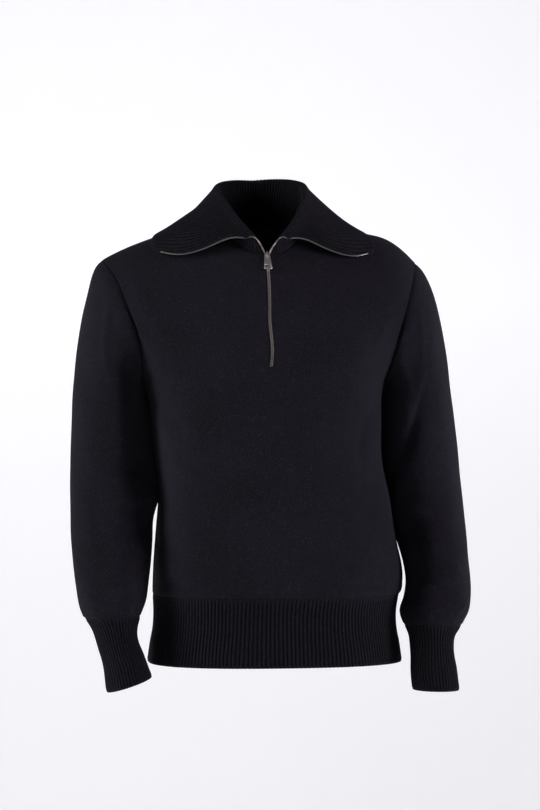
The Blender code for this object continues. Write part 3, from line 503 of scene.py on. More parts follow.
def shoulder_line(out):
    """Height of the shoulder seam, carried on over the neck, at a distance from the middle."""
    share = (np.abs(out) - NECK_HALF) / (SHOULDER_TIP - NECK_HALF)
    bow = np.where(out > 0, SHOULDER_ROUND[1], SHOULDER_ROUND[0])
    return -SHOULDER_DROP * share + bow * np.sin(np.pi * np.clip(share, 0, 1) ** SHOULDER_BIAS)


def fold_height(folds, across, along):
    """Sum of the folds and creases at points given by two distances on the cloth."""
    total = np.zeros(np.broadcast(across, along).shape)
    for x0, z0, x1, z1, half_width, height, *bow in folds:
        dx, dz = x1 - x0, z1 - z0
        length = np.hypot(dx, dz)
        t = ((across - x0) * dx + (along - z0) * dz) / length ** 2
        nearest = np.clip(t, 0, 1)
        aside = ((along - z0) * dx - (across - x0) * dz) / length
        if bow:
            aside = aside - bow[0] * 4 * nearest * (1 - nearest)
        away = np.hypot(aside, (t - nearest) * length)
        taper = np.sin(np.pi * np.clip(nearest, FOLD_TIP, 1 - FOLD_TIP)) ** FOLD_TAPER
        total += height * taper * np.exp(-(away / half_width) ** 2 * FOLD_SLOPE)
    return total


def waves(across, along):
    """The cloth's slow unevenness."""
    return sum(height * np.sin(a * across + b * along + phase) for a, b, phase, height in WAVES)


def gathers(across, away, start):
    """Small uneven puckers where plain knit meets a rib, by distances along and from the rib."""
    turn = across / GATHER_PITCH + start
    phase = 2 * np.pi * (turn + 0.35 * np.sin(turn * 1.3) + 0.2 * np.sin(turn * 0.41 + start))
    size = 0.55 + 0.45 * np.sin(turn * 2.3 + start * 1.7)
    reach = GATHER_REACH * (0.65 + 0.35 * np.sin(turn * 3.1 + start))
    return GATHER_HEIGHT * size * np.sin(phase) * np.exp(-(away / reach) ** 2)


def seam_relief(away):
    """The groove and the swell beside a sewn seam, by the distance from it."""
    dip, dip_width = SEAM_DIP
    swell, place, swell_width = SEAM_SWELL
    rise = swell * np.exp(-((away - place) / swell_width) ** 2)
    return rise - dip * np.exp(-(away / dip_width) ** 2)


def body_depth(side, out, height):
    """How far in front (side -1) or behind (+1) the body's surface lies."""
    section = smooth(TORSO, height)
    half, reach = section[..., 0], section[..., 2 if side < 0 else 3]
    near, far = FRONT_FALL if side < 0 else BACK_FALL
    share = np.abs(out) / SHOULDER_TIP
    drop = np.clip((shoulder_line(out) - height) / (near + (far - near) * share), 0, 1)
    width = np.clip(np.abs(out) / half, 0, 1)
    fullness = (1 - width ** SECTION_POWER) ** (1 / SECTION_POWER)
    return side * reach * fullness * np.sqrt(1 - (1 - drop) ** 2)


def body_point(side, out, height):
    middle = smooth(TORSO, height)[..., 1]
    return np.stack([middle + out, body_depth(side, out, height), height + 0 * out], axis=-1)


def armhole_reach(height):
    return smooth(ARMHOLE, height)[..., 0]


def armhole_height(angle):
    """Height on the armhole at an angle, 0 at the shoulder tip and 180 degrees at the armpit."""
    half = (-SHOULDER_DROP - ARMPIT) / 2
    return -SHOULDER_DROP - half + half * np.cos(angle)


def armhole_point(side, angle):
    """A point of the armhole's edge. Side is +1 for the wearer's left."""
    height = armhole_height(angle)
    out = armhole_reach(height)
    front = np.sin(angle) >= 0
    depth = np.where(front, body_depth(-1, out, height), body_depth(1, out, height))
    return np.stack([smooth(TORSO, height)[..., 1] + side * out, depth, height], axis=-1)


def grid_normals(grid, around=False, flip=False):
    """Unit normals of a grid of points, rows by columns."""
    down = np.gradient(grid, axis=0)
    if around:
        across = (np.roll(grid, -1, axis=1) - np.roll(grid, 1, axis=1)) / 2
    else:
        across = np.gradient(grid, axis=1)
    normals = unit(np.cross(down, across))
    return -normals if flip else normals


def lengths(grid):
    """Distances across, from the middle column, and down, from the first row, in metres."""
    across = np.linalg.norm(np.diff(grid, axis=1), axis=-1)
    across = np.concatenate([np.zeros((len(grid), 1)), np.cumsum(across, axis=1)], axis=1)
    across -= across[:, [across.shape[1] // 2]]
    down = np.linalg.norm(np.diff(grid, axis=0), axis=-1)
    down = np.concatenate([np.zeros((1, grid.shape[1])), np.cumsum(down, axis=0)], axis=0)
    return np.stack([across, -down], axis=-1) * MM


def rim_rows(last, before, across_last):
    """Rows that round a wall's edge, from its outer last row to its inner one."""
    middle = (last + across_last) / 2
    radius = np.linalg.norm(last - across_last, axis=-1, keepdims=True) / 2
    out = unit(last - across_last)
    ahead = before - (before * out).sum(axis=-1, keepdims=True) * out
    ahead = unit(ahead)
    turns = np.linspace(0, np.pi, RIM_STEPS + 2)[1:-1]
    return [middle + radius * (np.cos(turn) * out + np.sin(turn) * ahead) for turn in turns]


def make_shell(name, outer, inner, values, material, around=False, holes=()):
    """A closed wall of cloth from its outer and inner points, with rounded first and last edges.

    Values are named numbers for each grid point, kept on the mesh for the materials.
    """
    rows, columns = outer.shape[:2]
    top = rim_rows(outer[0], outer[0] - outer[1], inner[0])[::-1]
    bottom = rim_rows(outer[-1], outer[-1] - outer[-2], inner[-1])
    section = np.concatenate([np.array(top), outer, np.array(bottom), inner[::-1]])
    count = len(section)
    flat = section.reshape(-1, 3)
    index = np.arange(count * columns).reshape(count, columns)
    grid = np.concatenate([index, index[:1]])
    right = np.roll(grid, -1, axis=1)
    last = columns if around else columns - 1
    faces = [grid[:-1, :last], right[:-1, :last], right[1:, :last], grid[1:, :last]]
    faces = np.stack(faces, axis=-1)
    keep = np.ones(faces.shape[:2], bool)
    sides = []
    first_out, first_in = RIM_STEPS, 2 * RIM_STEPS + 2 * rows - 1
    for row, column in holes:
        keep[first_out + row, column] = keep[first_in - row - 1, column] = False
    if holes:
        at = [column for row, column in holes][0]
        low = max(row for row, column in holes) + 1
        for row in range(low):
            for column, side in ((at, 1), (at + 1, -1)):
                a, b = index[first_out + row, column], index[first_out + row + 1, column]
                c, d = index[first_in - row - 1, column], index[first_in - row, column]
                sides.append([a, b, c, d][::side])
        end = [index[first_out + low, at], index[first_out + low, at + 1]]
        end += [index[first_in - low, at + 1], index[first_in - low, at]]
        sides.append(end[::-1])
        # the top edge is open over the slit, so its rim is left out there and capped
        for row in list(range(RIM_STEPS)) + [count - 1]:
            keep[row, at] = False
    faces = [list(face) for face in faces[keep]] + [[int(i) for i in side] for side in sides]
    if not around:
        for column, flip in ((0, False), (columns - 1, True)):
            for row in range(rows - 1):
                side = [index[first_out + row, column], index[first_out + row + 1, column],
                        index[first_in - row - 1, column], index[first_in - row, column]]
                faces.append(side if flip else side[::-1])
            for rim in (list(index[:RIM_STEPS + 1, column]) + [index[-1, column]],
                        list(index[first_out + rows - 1:first_out + rows + RIM_STEPS + 1, column])):
                faces.append(rim if flip else rim[::-1])
    if holes:
        for column, flip in ((at, True), (at + 1, False)):
            rim = list(index[:RIM_STEPS + 1, column]) + [index[-1, column]]
            faces.append(rim if flip else rim[::-1])
    mesh = bpy.data.meshes.new(name)
    mesh.from_pydata((flat * MM).tolist(), [], [[int(i) for i in face] for face in faces])
    mesh.validate()
    spread = lengths(outer)
    uv = np.concatenate([np.repeat(spread[:1], RIM_STEPS, axis=0), spread,
                         np.repeat(spread[-1:], RIM_STEPS, axis=0), spread[::-1]])
    corner = np.empty(len(mesh.loops), int)
    mesh.loops.foreach_get("vertex_index", corner)
    layer = mesh.uv_layers.new(name="Knit")
    coordinates = uv.reshape(-1, 2)[corner]
    if around:
        coordinates = unwrap_corners(mesh, coordinates, spread)
    layer.data.foreach_set("uv", coordinates.ravel())
    for key, number in values.items():
        full = np.concatenate([np.repeat(number[:1], RIM_STEPS, axis=0), number,
                               np.repeat(number[-1:], RIM_STEPS, axis=0), number[::-1]])
        mesh.attributes.new(key, "FLOAT", "POINT").data.foreach_set("value", full.ravel())
    inside = np.concatenate([np.zeros(columns * (2 * RIM_STEPS + rows)), np.ones(columns * rows)])
    mesh.attributes.new("inside", "FLOAT", "POINT").data.foreach_set("value", inside)
    mesh.shade_smooth()
    mesh.materials.append(material)
    made = bpy.data.objects.new(name, mesh)
    bpy.context.scene.collection.objects.link(made)
    if volume_of(mesh) < 0:
        mesh.flip_normals()
    return made


def unwrap_corners(mesh, coordinates, spread):
    """Corners of the faces that close a tube get the coordinate past its last column."""
    start = np.empty(len(mesh.polygons), int)
    total = np.empty(len(mesh.polygons), int)
    mesh.polygons.foreach_get("loop_start", start)
    mesh.polygons.foreach_get("loop_total", total)
    width = spread[..., 0].max() - spread[..., 0].min()
    girth = width * (1 + 1 / spread.shape[1])
    for first, size in zip(start, total):
        part = coordinates[first:first + size, 0]
        if part.max() - part.min() > width / 2:
            part[part < 0] += girth
    return coordinates


def volume_of(mesh):
    """Signed volume of a closed mesh."""
    mesh.calc_loop_triangles()
    corners = np.empty(len(mesh.loop_triangles) * 3, int)
    mesh.loop_triangles.foreach_get("vertices", corners)
    points = np.empty(len(mesh.vertices) * 3)
    mesh.vertices.foreach_get("co", points)
    a, b, c = np.moveaxis(points.reshape(-1, 3)[corners].reshape(-1, 3, 3), 1, 0)
    return float((a * np.cross(b, c)).sum() / 6)


def finer(values, steps):
    """A list of places with each step between two of them cut into several."""
    index = np.linspace(0, len(values) - 1, (len(values) - 1) * steps + 1)
    return np.interp(index, np.arange(len(values)), values)


def zip_wave(height):
    """How far the closed zip lies to the side of its straight line."""
    return smooth(CHAIN_WAVE, height)[..., 0] * (height <= FRONT_NECK) * (height >= SLIT_END)


def zip_pull_over(out, height):
    """How far the front is moved sideways so that its middle follows the zip."""
    section = smooth(TORSO, height)
    near = 1 - np.clip(np.abs(out) / section[..., 0], 0, 1)
    fade = ease((height - ZIP_FADE_END) / (SLIT_END - ZIP_FADE_END))
    return (ZIP_X - section[..., 1]) * near * fade + zip_wave(height) * near ** 8


def neck_height(side, out):
    """Height of the neck edge at a distance from the middle."""
    lowest = FRONT_NECK if side < 0 else BACK_NECK
    return lowest * (1 - np.clip(np.abs(out) / NECK_HALF, 0, 1) ** NECK_CURVE)


def panel_grid(side):
    """Heights and distances from the middle of a panel's points, in fine steps."""
    first = SLIT_HALF if side < 0 else 0
    neck = np.linspace(first, NECK_HALF, (NECK_COLUMNS[side > 0] - 1) * FINE + 1)
    toward = np.linspace(0, 1, (SHOULDER_COLUMNS - 1) * FINE + 1)[1:]
    toward = 1 - (1 - toward) ** 1.5
    half = np.concatenate([neck, NECK_HALF + (SHOULDER_TIP - NECK_HALF) * toward])
    rank = half / SHOULDER_TIP
    if side < 0:
        half = np.concatenate([-half[::-1], half])
        rank = np.concatenate([-rank[::-1], rank])
    else:
        half = np.concatenate([-half[:0:-1], half])
        rank = np.concatenate([-rank[:0:-1], rank])
    far = np.abs(rank)
    least = np.where(far < far.max() / 2, SLIT_HALF, 0) * np.sign(half)
    top = np.where(np.abs(half) < NECK_HALF, neck_height(side, half), shoulder_line(half))
    low = ARMPIT - MIDDLE_DIP * (1 - far)
    at_edge = (1 - np.cos(np.linspace(0, np.pi, ARM_SIDES // 2 * FINE + 1))) / 2
    slit_share = (SLIT_END - FRONT_NECK) / (ARMPIT - MIDDLE_DIP - FRONT_NECK)
    slit_rows = SLIT_ROWS * FINE
    at_middle = np.concatenate([np.linspace(0, slit_share, slit_rows + 1),
                                np.linspace(slit_share, 1, len(at_edge) - slit_rows)[1:]])
    heights, outs = [], []
    for edge, middle in zip(at_edge, at_middle):
        height = top + (low - top) * (middle + (edge - middle) * far)
        spread = half / SHOULDER_TIP * (1 - edge) + np.sin(rank * np.pi / 2) * edge
        reach = armhole_reach(np.minimum(height, -SHOULDER_DROP))
        heights.append(height)
        outs.append(np.where(np.abs(spread * reach) < SLIT_HALF, least, spread * reach))
    for share in (finer((ARMPIT,) + LOWER_ROWS, FINE)[1:] - ARMPIT) / (HEM_SEAM - ARMPIT):
        height = low + (HEM_SEAM - low) * share
        out = np.sin(rank * np.pi / 2) * smooth(TORSO, height)[..., 0]
        heights.append(height)
        outs.append(np.where(np.abs(out) < SLIT_HALF, least, out))
    return np.array(heights), np.array(outs), slit_rows


def armhole_normal(side, angle):
    """The way that the cloth faces at the armhole seam, halfway between body and sleeve."""
    at_top, at_side, up = ARMHOLE_FACING
    across = side * (at_top * ((1 + np.cos(angle)) / 2) ** 2 + at_side * np.abs(np.sin(angle)))
    return unit(np.stack([across, -np.sin(angle), up * np.cos(angle)], axis=-1))


def edge_distance(grid):
    """Distance of each point from the nearer end of its row, in millimetres."""
    spread = lengths(grid)[..., 0] / MM
    return np.minimum(spread - spread[:, :1], spread[:, -1:] - spread)


def rib_relief(phase):
    """Height of a rib across its width, 0 in the grooves and 1 on the ridges."""
    return 1 - np.abs(np.cos(np.pi * phase)) ** RIB_SHARP


def tube_point(table, station, angle):
    """A point of a sleeve or cuff, at a station along it and an angle round it."""
    section = np.moveaxis(smooth(table, station), -1, 0)
    outer_x, outer_z, inner_x, inner_z, middle_y, half_depth = section
    swing = np.cos(angle)
    return np.stack([(outer_x + inner_x + (outer_x - inner_x) * swing) / 2,
                     middle_y - half_depth * np.sin(angle),
                     (outer_z + inner_z + (outer_z - inner_z) * swing) / 2], axis=-1)


def neck_point(place):
    """A point of the neck edge, from the zip (0) over the shoulder to the back's middle (1)."""
    turn = place ** NECK_LEAD
    front = turn < 0.5
    out = np.maximum(NECK_HALF * np.sin(turn * np.pi), SLIT_HALF * front)
    height = np.where(front, neck_height(-1, out), neck_height(1, out))
    depth = np.where(front, body_depth(-1, out, height), body_depth(1, out, height))
    return np.stack([out, depth, height], axis=-1)


def collar_profile(place):
    """The collar's middle surface at places from zip to back: points by rows, foot to free edge."""
    place = np.asarray(place, float)
    neck = neck_point(place)
    row = smooth(COLLAR, place)
    fold, edge = row[..., :3], row[..., 3:]
    up = np.array([0, 0, 1.0])
    inward = unit(-neck * (1, 1, 0) - np.array([0, NECK_CENTRE_Y, 0]))
    foot = neck + inward * (NECK_GAP[0] + JERSEY / 2) + up * NECK_GAP[1]
    outward = unit((edge - fold) * (1, 1, 0))
    crest = fold - up * JERSEY / 2
    bend = (FOLD_ROUND[0] + (FOLD_ROUND[1] - FOLD_ROUND[0]) * ease(place * FRONT_BEND))[..., None]
    centre = crest - up * bend
    stand_top = centre - outward * bend
    leaf_top = centre + outward * bend
    bow = unit(np.cross(edge - leaf_top, np.cross(outward, up)))
    bow = bow * np.sign(bow[..., 2:3] + 1e-6)
    lines = [foot + (stand_top - foot) * share for share in np.linspace(0, 1, STAND_ROWS)[:-1]]
    for turn in np.linspace(0, np.pi, FOLD_ROWS):
        lines.append(centre + bend * (-np.cos(turn) * outward + np.sin(turn) * up))
    from_round = 1 - np.clip(place / CORNER_ALONG, 0, 1)
    reach = (1 - CORNER_CUT * (1 - np.sqrt(1 - from_round ** 2)))[..., None]
    for share in np.linspace(0, 1, LEAF_STEPS)[1:]:
        fade = 1 - ease(place / (SAG_END[0] + (SAG_END[1] - SAG_END[0]) * share))
        sag = smooth(LEAF_SAG, share)[0] * fade[..., None]
        hang = sag * np.array([0, SAG_FORWARD, 1])
        crown = bow * LEAF_CROWN * np.sin(np.pi * share ** LEAF_LEAN)
        lines.append(leaf_top + (edge - leaf_top) * share * reach - hang + crown)
    return np.stack(lines, axis=0)


def collar_grid(count):
    """The whole collar's middle surface and normals, from right front round to left front."""
    turn = np.linspace(-1, 1, count)
    place = 1 - np.abs(turn)
    grid = collar_profile(place)
    share = np.linspace(0, 1, len(grid))[:, None]
    half = np.where(turn > 0, 1, 0)
    raised = np.sin(np.pi * place) * ease(share / STAND_SHARE)
    grid[..., 2] += np.take(COLLAR_LIFT, half) * raised
    grid[..., 0] -= np.take(COLLAR_DRAW, half) * raised
    grid[..., 0] *= np.sign(turn + 1e-9)
    grid[..., 0] += ZIP_X
    for _ in range(2):
        grid[1:-1] = (grid[:-2] + 2 * grid[1:-1] + grid[2:]) / 4
    return grid, grid_normals(grid, flip=True)


def node(tree, kind, values=(), **settings):
    """A node with its settings, and with values or links on its inputs by name or number."""
    made = tree.nodes.new(kind)
    for key, value in settings.items():
        setattr(made, key, value)
    for key, value in dict(values).items():
        socket = made.inputs[key]
        if isinstance(value, bpy.types.NodeSocket):
            tree.links.new(value, socket)
        else:
            socket.default_value = value
    return made


def maths(tree, operation, *values):
    """The result of a Math node."""
    return node(tree, "ShaderNodeMath", dict(enumerate(values)), operation=operation).outputs[0]


def blend_values(tree, factor, low, high):
    """A value between two others."""
    return node(tree, "ShaderNodeMix", {0: factor, 2: low, 3: high}, data_type="FLOAT").outputs[0]


def blend_colours(tree, factor, low, high, mode="MIX"):
    """A colour between two others."""
    made = node(tree, "ShaderNodeMix", {0: factor, 6: low, 7: high}, data_type="RGBA",
                blend_type=mode)
    return made.outputs[2]


def new_group(name, inputs, outputs):
    """An empty shader node group with float inputs and named outputs."""
    tree = bpy.data.node_groups.new(name, "ShaderNodeTree")
    for key, value in inputs.items():
        made = tree.interface.new_socket(key, in_out="INPUT", socket_type="NodeSocketFloat")
        made.default_value = value
    for key in outputs:
        tree.interface.new_socket(key, in_out="OUTPUT", socket_type="NodeSocketFloat")
    return tree, tree.nodes.new("NodeGroupInput").outputs, tree.nodes.new("NodeGroupOutput").inputs


def knit_group():
    """Plain knit: columns of V stitches on the piece's own coordinates, sizes in millimetres."""
    inputs = {"Wale": 1.6, "Course": 1.15}
    tree, given, result = new_group("Knit stitches", inputs, ("Height", "Gap"))
    place = node(tree, "ShaderNodeUVMap", uv_map="Knit").outputs[0]
    apart = node(tree, "ShaderNodeSeparateXYZ", {0: place}).outputs
    across = maths(tree, "DIVIDE", maths(tree, "MULTIPLY", apart[0], 1000), given["Wale"])
    along = maths(tree, "DIVIDE", maths(tree, "MULTIPLY", apart[1], 1000), given["Course"])
    from_middle = maths(tree, "SUBTRACT", maths(tree, "FRACT", across), 0.5)
    from_middle = maths(tree, "ABSOLUTE", from_middle)
    slant = maths(tree, "SUBTRACT", along, maths(tree, "MULTIPLY", from_middle, 1.5))
    strand = maths(tree, "SINE", maths(tree, "MULTIPLY", maths(tree, "FRACT", slant), np.pi))
    legs = maths(tree, "SINE", maths(tree, "MULTIPLY", from_middle, 2 * np.pi))
    strand = maths(tree, "POWER", strand, 0.6)
    height = maths(tree, "MULTIPLY", strand, maths(tree, "POWER", legs, 0.5))
    tree.links.new(height, result["Height"])
    # Gap is 1 between the strands, where the wool material paints shade
    tree.links.new(maths(tree, "SUBTRACT", 1.0, height), result["Gap"])
    return tree


def wool_group():
    """Loose fibres and uneven dye of wool on object coordinates."""
    inputs = {"Fibre scale": 900.0, "Cloud scale": 9.0}
    tree, given, result = new_group("Wool fibres", inputs, ("Height", "Fleck", "Cloud"))
    place = node(tree, "ShaderNodeTexCoord").outputs["Object"]
    fibre = node(tree, "ShaderNodeTexNoise",
                 {"Vector": place, "Scale": given["Fibre scale"], "Detail": 4.0, "Distortion": 0.8})
    fleck = node(tree, "ShaderNodeTexNoise",
                 {"Vector": place, "Scale": FLECK_SCALE, "Detail": 2.0, "Roughness": 0.7})
    sharp = node(tree, "ShaderNodeMapRange",
                 {0: fleck.outputs[0], 1: FLECK_RANGE[0], 2: FLECK_RANGE[1]})
    cloud = node(tree, "ShaderNodeTexNoise",
                 {"Vector": place, "Scale": given["Cloud scale"], "Detail": 3.0})
    tree.links.new(fibre.outputs[0], result["Height"])
    tree.links.new(sharp.outputs[0], result["Fleck"])
    tree.links.new(cloud.outputs[0], result["Cloud"])
    return tree


def placed(tree, group, **values):
    """A group node with its own values."""
    made = tree.nodes.new("ShaderNodeGroup")
    made.node_tree = bpy.data.node_groups[group]
    for key, value in values.items():
        made.inputs[key.replace("_", " ")].default_value = value
    return made.outputs


def blank_material(name):
    material = bpy.data.materials.new(name)
    material.use_nodes = True
    return material, material.node_tree, material.node_tree.nodes["Principled BSDF"]


def make_wool(name, colours, colour, wale, course, depth):
    """Knitted wool. Depth is the relief of its stitches in millimetres."""
    material, tree, shader = blank_material(name)
    knit = placed(tree, "Knit stitches", Wale=wale, Course=course)
    wool = placed(tree, "Wool fibres")
    groove = node(tree, "ShaderNodeAttribute", attribute_name="groove").outputs["Fac"]
    cloud = node(tree, "ShaderNodeMapRange", {0: wool["Cloud"], 1: 0.3, 2: 0.7, 3: CLOUD_SHADES[0],
                                              4: CLOUD_SHADES[1]}).outputs[0]
    # Painted light on the stitches' strands and painted shade in the gaps between them, on the
    # dye's slow unevenness
    shade = maths(tree, "MULTIPLY", cloud, blend_values(tree, knit["Gap"], *STITCH_LIGHT_AND_SHADE))
    # Painted shade: the mesh's groove value darkens the colour in rib grooves and along seams,
    # where shade falls
    shade = maths(tree, "MULTIPLY", shade, blend_values(tree, groove, 1.0, colours.groove_painted_shade))
    tone = node(tree, "ShaderNodeCombineColor", {0: shade, 1: shade, 2: shade}).outputs[0]
    base = blend_colours(tree, 1.0, (*colour, 1), tone, "MULTIPLY")
    fleck = maths(tree, "MULTIPLY", wool["Fleck"], colours.fleck_strength)
    base = blend_colours(tree, fleck, base, (*colours.fleck, 1))
    tree.links.new(base, shader.inputs["Base Color"])
    rough = blend_values(tree, wool["Height"], *WOOL_ROUGH)
    tree.links.new(rough, shader.inputs["Roughness"])
    nap = node(tree, "ShaderNodeBump",
               {"Strength": NAP_BUMP[0], "Distance": NAP_BUMP[1], "Height": wool["Height"]})
    bump = node(tree, "ShaderNodeBump", {"Strength": STITCH_BUMP, "Distance": depth * MM,
                                         "Height": knit["Height"], "Normal": nap.outputs[0]})
    tree.links.new(bump.outputs[0], shader.inputs["Normal"])
    shader.inputs["Sheen Weight"].default_value = colours.sheen
    shader.inputs["Sheen Roughness"].default_value = SHEEN_ROUGH
    shader.inputs["Sheen Tint"].default_value = (*colours.sheen_tint, 1)
    shader.inputs["Specular IOR Level"].default_value = WOOL_SHINE
    return material


def make_metal(name, colour, roughness):
    """Polished zip metal with fine scratches and darker patches at random."""
    material, tree, shader = blank_material(name)
    place = node(tree, "ShaderNodeTexCoord").outputs["Object"]
    drawn = node(tree, "ShaderNodeMapping", {"Vector": place, "Scale": (1.0, 1.0, 0.08)}).outputs[0]
    scratch = node(tree, "ShaderNodeTexNoise", {"Vector": drawn, "Scale": 2600.0, "Detail": 3.0})
    dull = node(tree, "ShaderNodeTexNoise", {"Vector": place, "Scale": 260.0, "Detail": 4.0})
    low = tuple(part * 0.72 for part in colour)
    base = blend_colours(tree, dull.outputs[0], (*low, 1), (*colour, 1))
    tree.links.new(base, shader.inputs["Base Color"])
    rough = maths(tree, "ADD", roughness - 0.1, maths(tree, "MULTIPLY", scratch.outputs[0], 0.22))
    tree.links.new(rough, shader.inputs["Roughness"])
    bump = node(tree, "ShaderNodeBump",
                {"Strength": 0.15, "Distance": 0.0001, "Height": scratch.outputs[0]})
    tree.links.new(bump.outputs[0], shader.inputs["Normal"])
    shader.inputs["Metallic"].default_value = 1.0
    return material


def make_tape_cloth(name, colour):
    """Herringbone zip tape on the strip's own coordinates."""
    material, tree, shader = blank_material(name)
    place = node(tree, "ShaderNodeUVMap", uv_map="Knit").outputs[0]
    weave = node(tree, "ShaderNodeTexWave",
                 {"Vector": place, "Scale": 420.0, "Distortion": 1.5, "Detail": 1.0},
                 bands_direction="DIAGONAL")
    low = tuple(part * 0.55 for part in colour)
    base = blend_colours(tree, weave.outputs[1], (*low, 1), (*colour, 1))
    tree.links.new(base, shader.inputs["Base Color"])
    bump = node(tree, "ShaderNodeBump",
                {"Strength": 0.6, "Distance": 0.0003, "Height": weave.outputs[1]})
    tree.links.new(bump.outputs[0], shader.inputs["Normal"])
    shader.inputs["Roughness"].default_value = 0.8
    shader.inputs["Sheen Weight"].default_value = 0.1
    return material


def make_paper(name, colour):
    """Matt painted studio paper with a trace of unevenness."""
    material, tree, shader = blank_material(name)
    place = node(tree, "ShaderNodeTexCoord").outputs["Object"]
    grain = node(tree, "ShaderNodeTexNoise", {"Vector": place, "Scale": 0.8, "Detail": 2.0})
    low = tuple(part * 0.985 for part in colour)
    base = blend_colours(tree, grain.outputs[0], (*low, 1), (*colour, 1))
    tree.links.new(base, shader.inputs["Base Color"])
    shader.inputs["Roughness"].default_value = 0.9
    shader.inputs["Emission Color"].default_value = (*colour, 1)
    shader.inputs["Emission Strength"].default_value = PAPER_GLOW
    return material


def path_tree(name, tooth):
    """Geometry nodes that set small parts one after another along a path, each facing outwards.

    A part is a stitch's rounded strand, or a zip tooth with its foot and its bead.
    """
    tree = bpy.data.node_groups.new(name, "GeometryNodeTree")
    tree.interface.new_socket("Path", in_out="INPUT", socket_type="NodeSocketGeometry")
    for key in ("Pitch", "Across", "Along", "Above"):
        tree.interface.new_socket(key, in_out="INPUT", socket_type="NodeSocketFloat")
    tree.interface.new_socket("Finish", in_out="INPUT", socket_type="NodeSocketMaterial")
    tree.interface.new_socket("Parts", in_out="OUTPUT", socket_type="NodeSocketGeometry")
    given = tree.nodes.new("NodeGroupInput").outputs
    result = tree.nodes.new("NodeGroupOutput").inputs
    curve = node(tree, "GeometryNodeMeshToCurve", {0: given["Path"]}).outputs[0]
    points = node(tree, "GeometryNodeResampleCurve", {"Curve": curve, "Length": given["Pitch"]},
                  mode="LENGTH")
    size = node(tree, "ShaderNodeCombineXYZ",
                {0: given["Across"], 1: given["Along"], 2: given["Above"]})
    if tooth:
        foot = node(tree, "GeometryNodeMeshCube", {"Size": (0.9, 0.62, 0.7)}).outputs[0]
        bead = node(tree, "GeometryNodeMeshUVSphere", {"Segments": 8, "Rings": 5, "Radius": 0.5})
        bead = node(tree, "GeometryNodeTransform",
                    {"Geometry": bead.outputs[0], "Scale": (0.7, 1.0, 1.0),
                     "Translation": (0.16, 0, 0.06)}).outputs[0]
        part = node(tree, "GeometryNodeJoinGeometry").inputs[0]
        tree.links.new(foot, part)
        tree.links.new(bead, part)
        part = part.node.outputs[0]
    else:
        strand = node(tree, "GeometryNodeMeshUVSphere", {"Segments": 8, "Rings": 6, "Radius": 0.5})
        part = node(tree, "GeometryNodeTransform",
                    {"Geometry": strand.outputs[0], "Rotation": (0, 0, 0.42)}).outputs[0]
        part = node(tree, "GeometryNodeSetShadeSmooth", {0: part}).outputs[0]
    part = node(tree, "GeometryNodeTransform", {"Geometry": part, "Scale": size.outputs[0]})
    facing = node(tree, "GeometryNodeInputNamedAttribute", {"Name": "facing"},
                  data_type="FLOAT_VECTOR")
    tangent = node(tree, "GeometryNodeInputTangent").outputs[0]
    along = node(tree, "FunctionNodeAlignRotationToVector", {"Vector": tangent}, axis="Y")
    turn = node(tree, "FunctionNodeAlignRotationToVector",
                {"Rotation": along.outputs[0], "Vector": facing.outputs[0]}, axis="Z",
                pivot_axis="Y").outputs[0]
    spread = node(tree, "GeometryNodeInstanceOnPoints",
                  {"Points": points.outputs[0], "Instance": part.outputs[0], "Rotation": turn})
    real = node(tree, "GeometryNodeRealizeInstances", {0: spread.outputs[0]}).outputs[0]
    done = node(tree, "GeometryNodeSetMaterial", {0: real, "Material": given["Finish"]})
    tree.links.new(done.outputs[0], result["Parts"])
    return tree


def along_paths(name, paths, tree, pitch, size, material):
    """A plain mesh of small parts along paths: points, the way they face, and closed or not."""
    points, facings, edges = [], [], []
    for path, facing, closed in paths:
        first = len(points)
        points += list(path * MM)
        facings += list(facing)
        edges += [(first + i, first + i + 1) for i in range(len(path) - 1)]
        if closed:
            edges.append((first + len(path) - 1, first))
    mesh = bpy.data.meshes.new(name + "_paths")
    mesh.from_pydata([tuple(point) for point in points], edges, [])
    ways = mesh.attributes.new("facing", "FLOAT_VECTOR", "POINT")
    ways.data.foreach_set("vector", np.ravel(facings))
    holder = bpy.data.objects.new(name + "_paths", mesh)
    bpy.context.scene.collection.objects.link(holder)
    change = holder.modifiers.new("Parts", "NODES")
    change.node_group = tree
    values = {"Pitch": pitch, "Across": size[0], "Along": size[1], "Above": size[2]}
    for item in tree.interface.items_tree:
        if item.in_out == "INPUT" and item.name in values:
            change[item.identifier] = values[item.name] * MM
        elif item.in_out == "INPUT" and item.name == "Finish":
            change[item.identifier] = material
    shown = holder.evaluated_get(bpy.context.evaluated_depsgraph_get())
    made = bpy.data.objects.new(name, bpy.data.meshes.new_from_object(shown))
    made.data.name = name
    bpy.context.scene.collection.objects.link(made)
    holder.modifiers.remove(change)
    bpy.data.objects.remove(holder)
    return made


class PulloverSizes(bpy.types.PropertyGroup):
    """Sizes of the knit and of its trim."""
    crease_strength: FloatProperty(name="Crease strength", description="Depth of the fine creases",
                                   default=1.0, min=0.0, max=2.0)
    rib_depth: FloatProperty(name="Rib depth", description="Height of a rib over its grooves",
                             default=0.0013, unit="LENGTH")
    wale: FloatProperty(name="Wale", description="Width of one column of stitches", default=0.0016,
                        unit="LENGTH")
    course: FloatProperty(name="Course", description="Height of one row of stitches",
                          default=0.0012, unit="LENGTH")
    stitch_depth: FloatProperty(name="Stitch depth", description="Relief of the stitches",
                                default=0.0005, unit="LENGTH")
    edge_softness: FloatProperty(name="Metal edge", description="Rounding of the zip's metal edges",
                                 default=0.0002, unit="LENGTH")


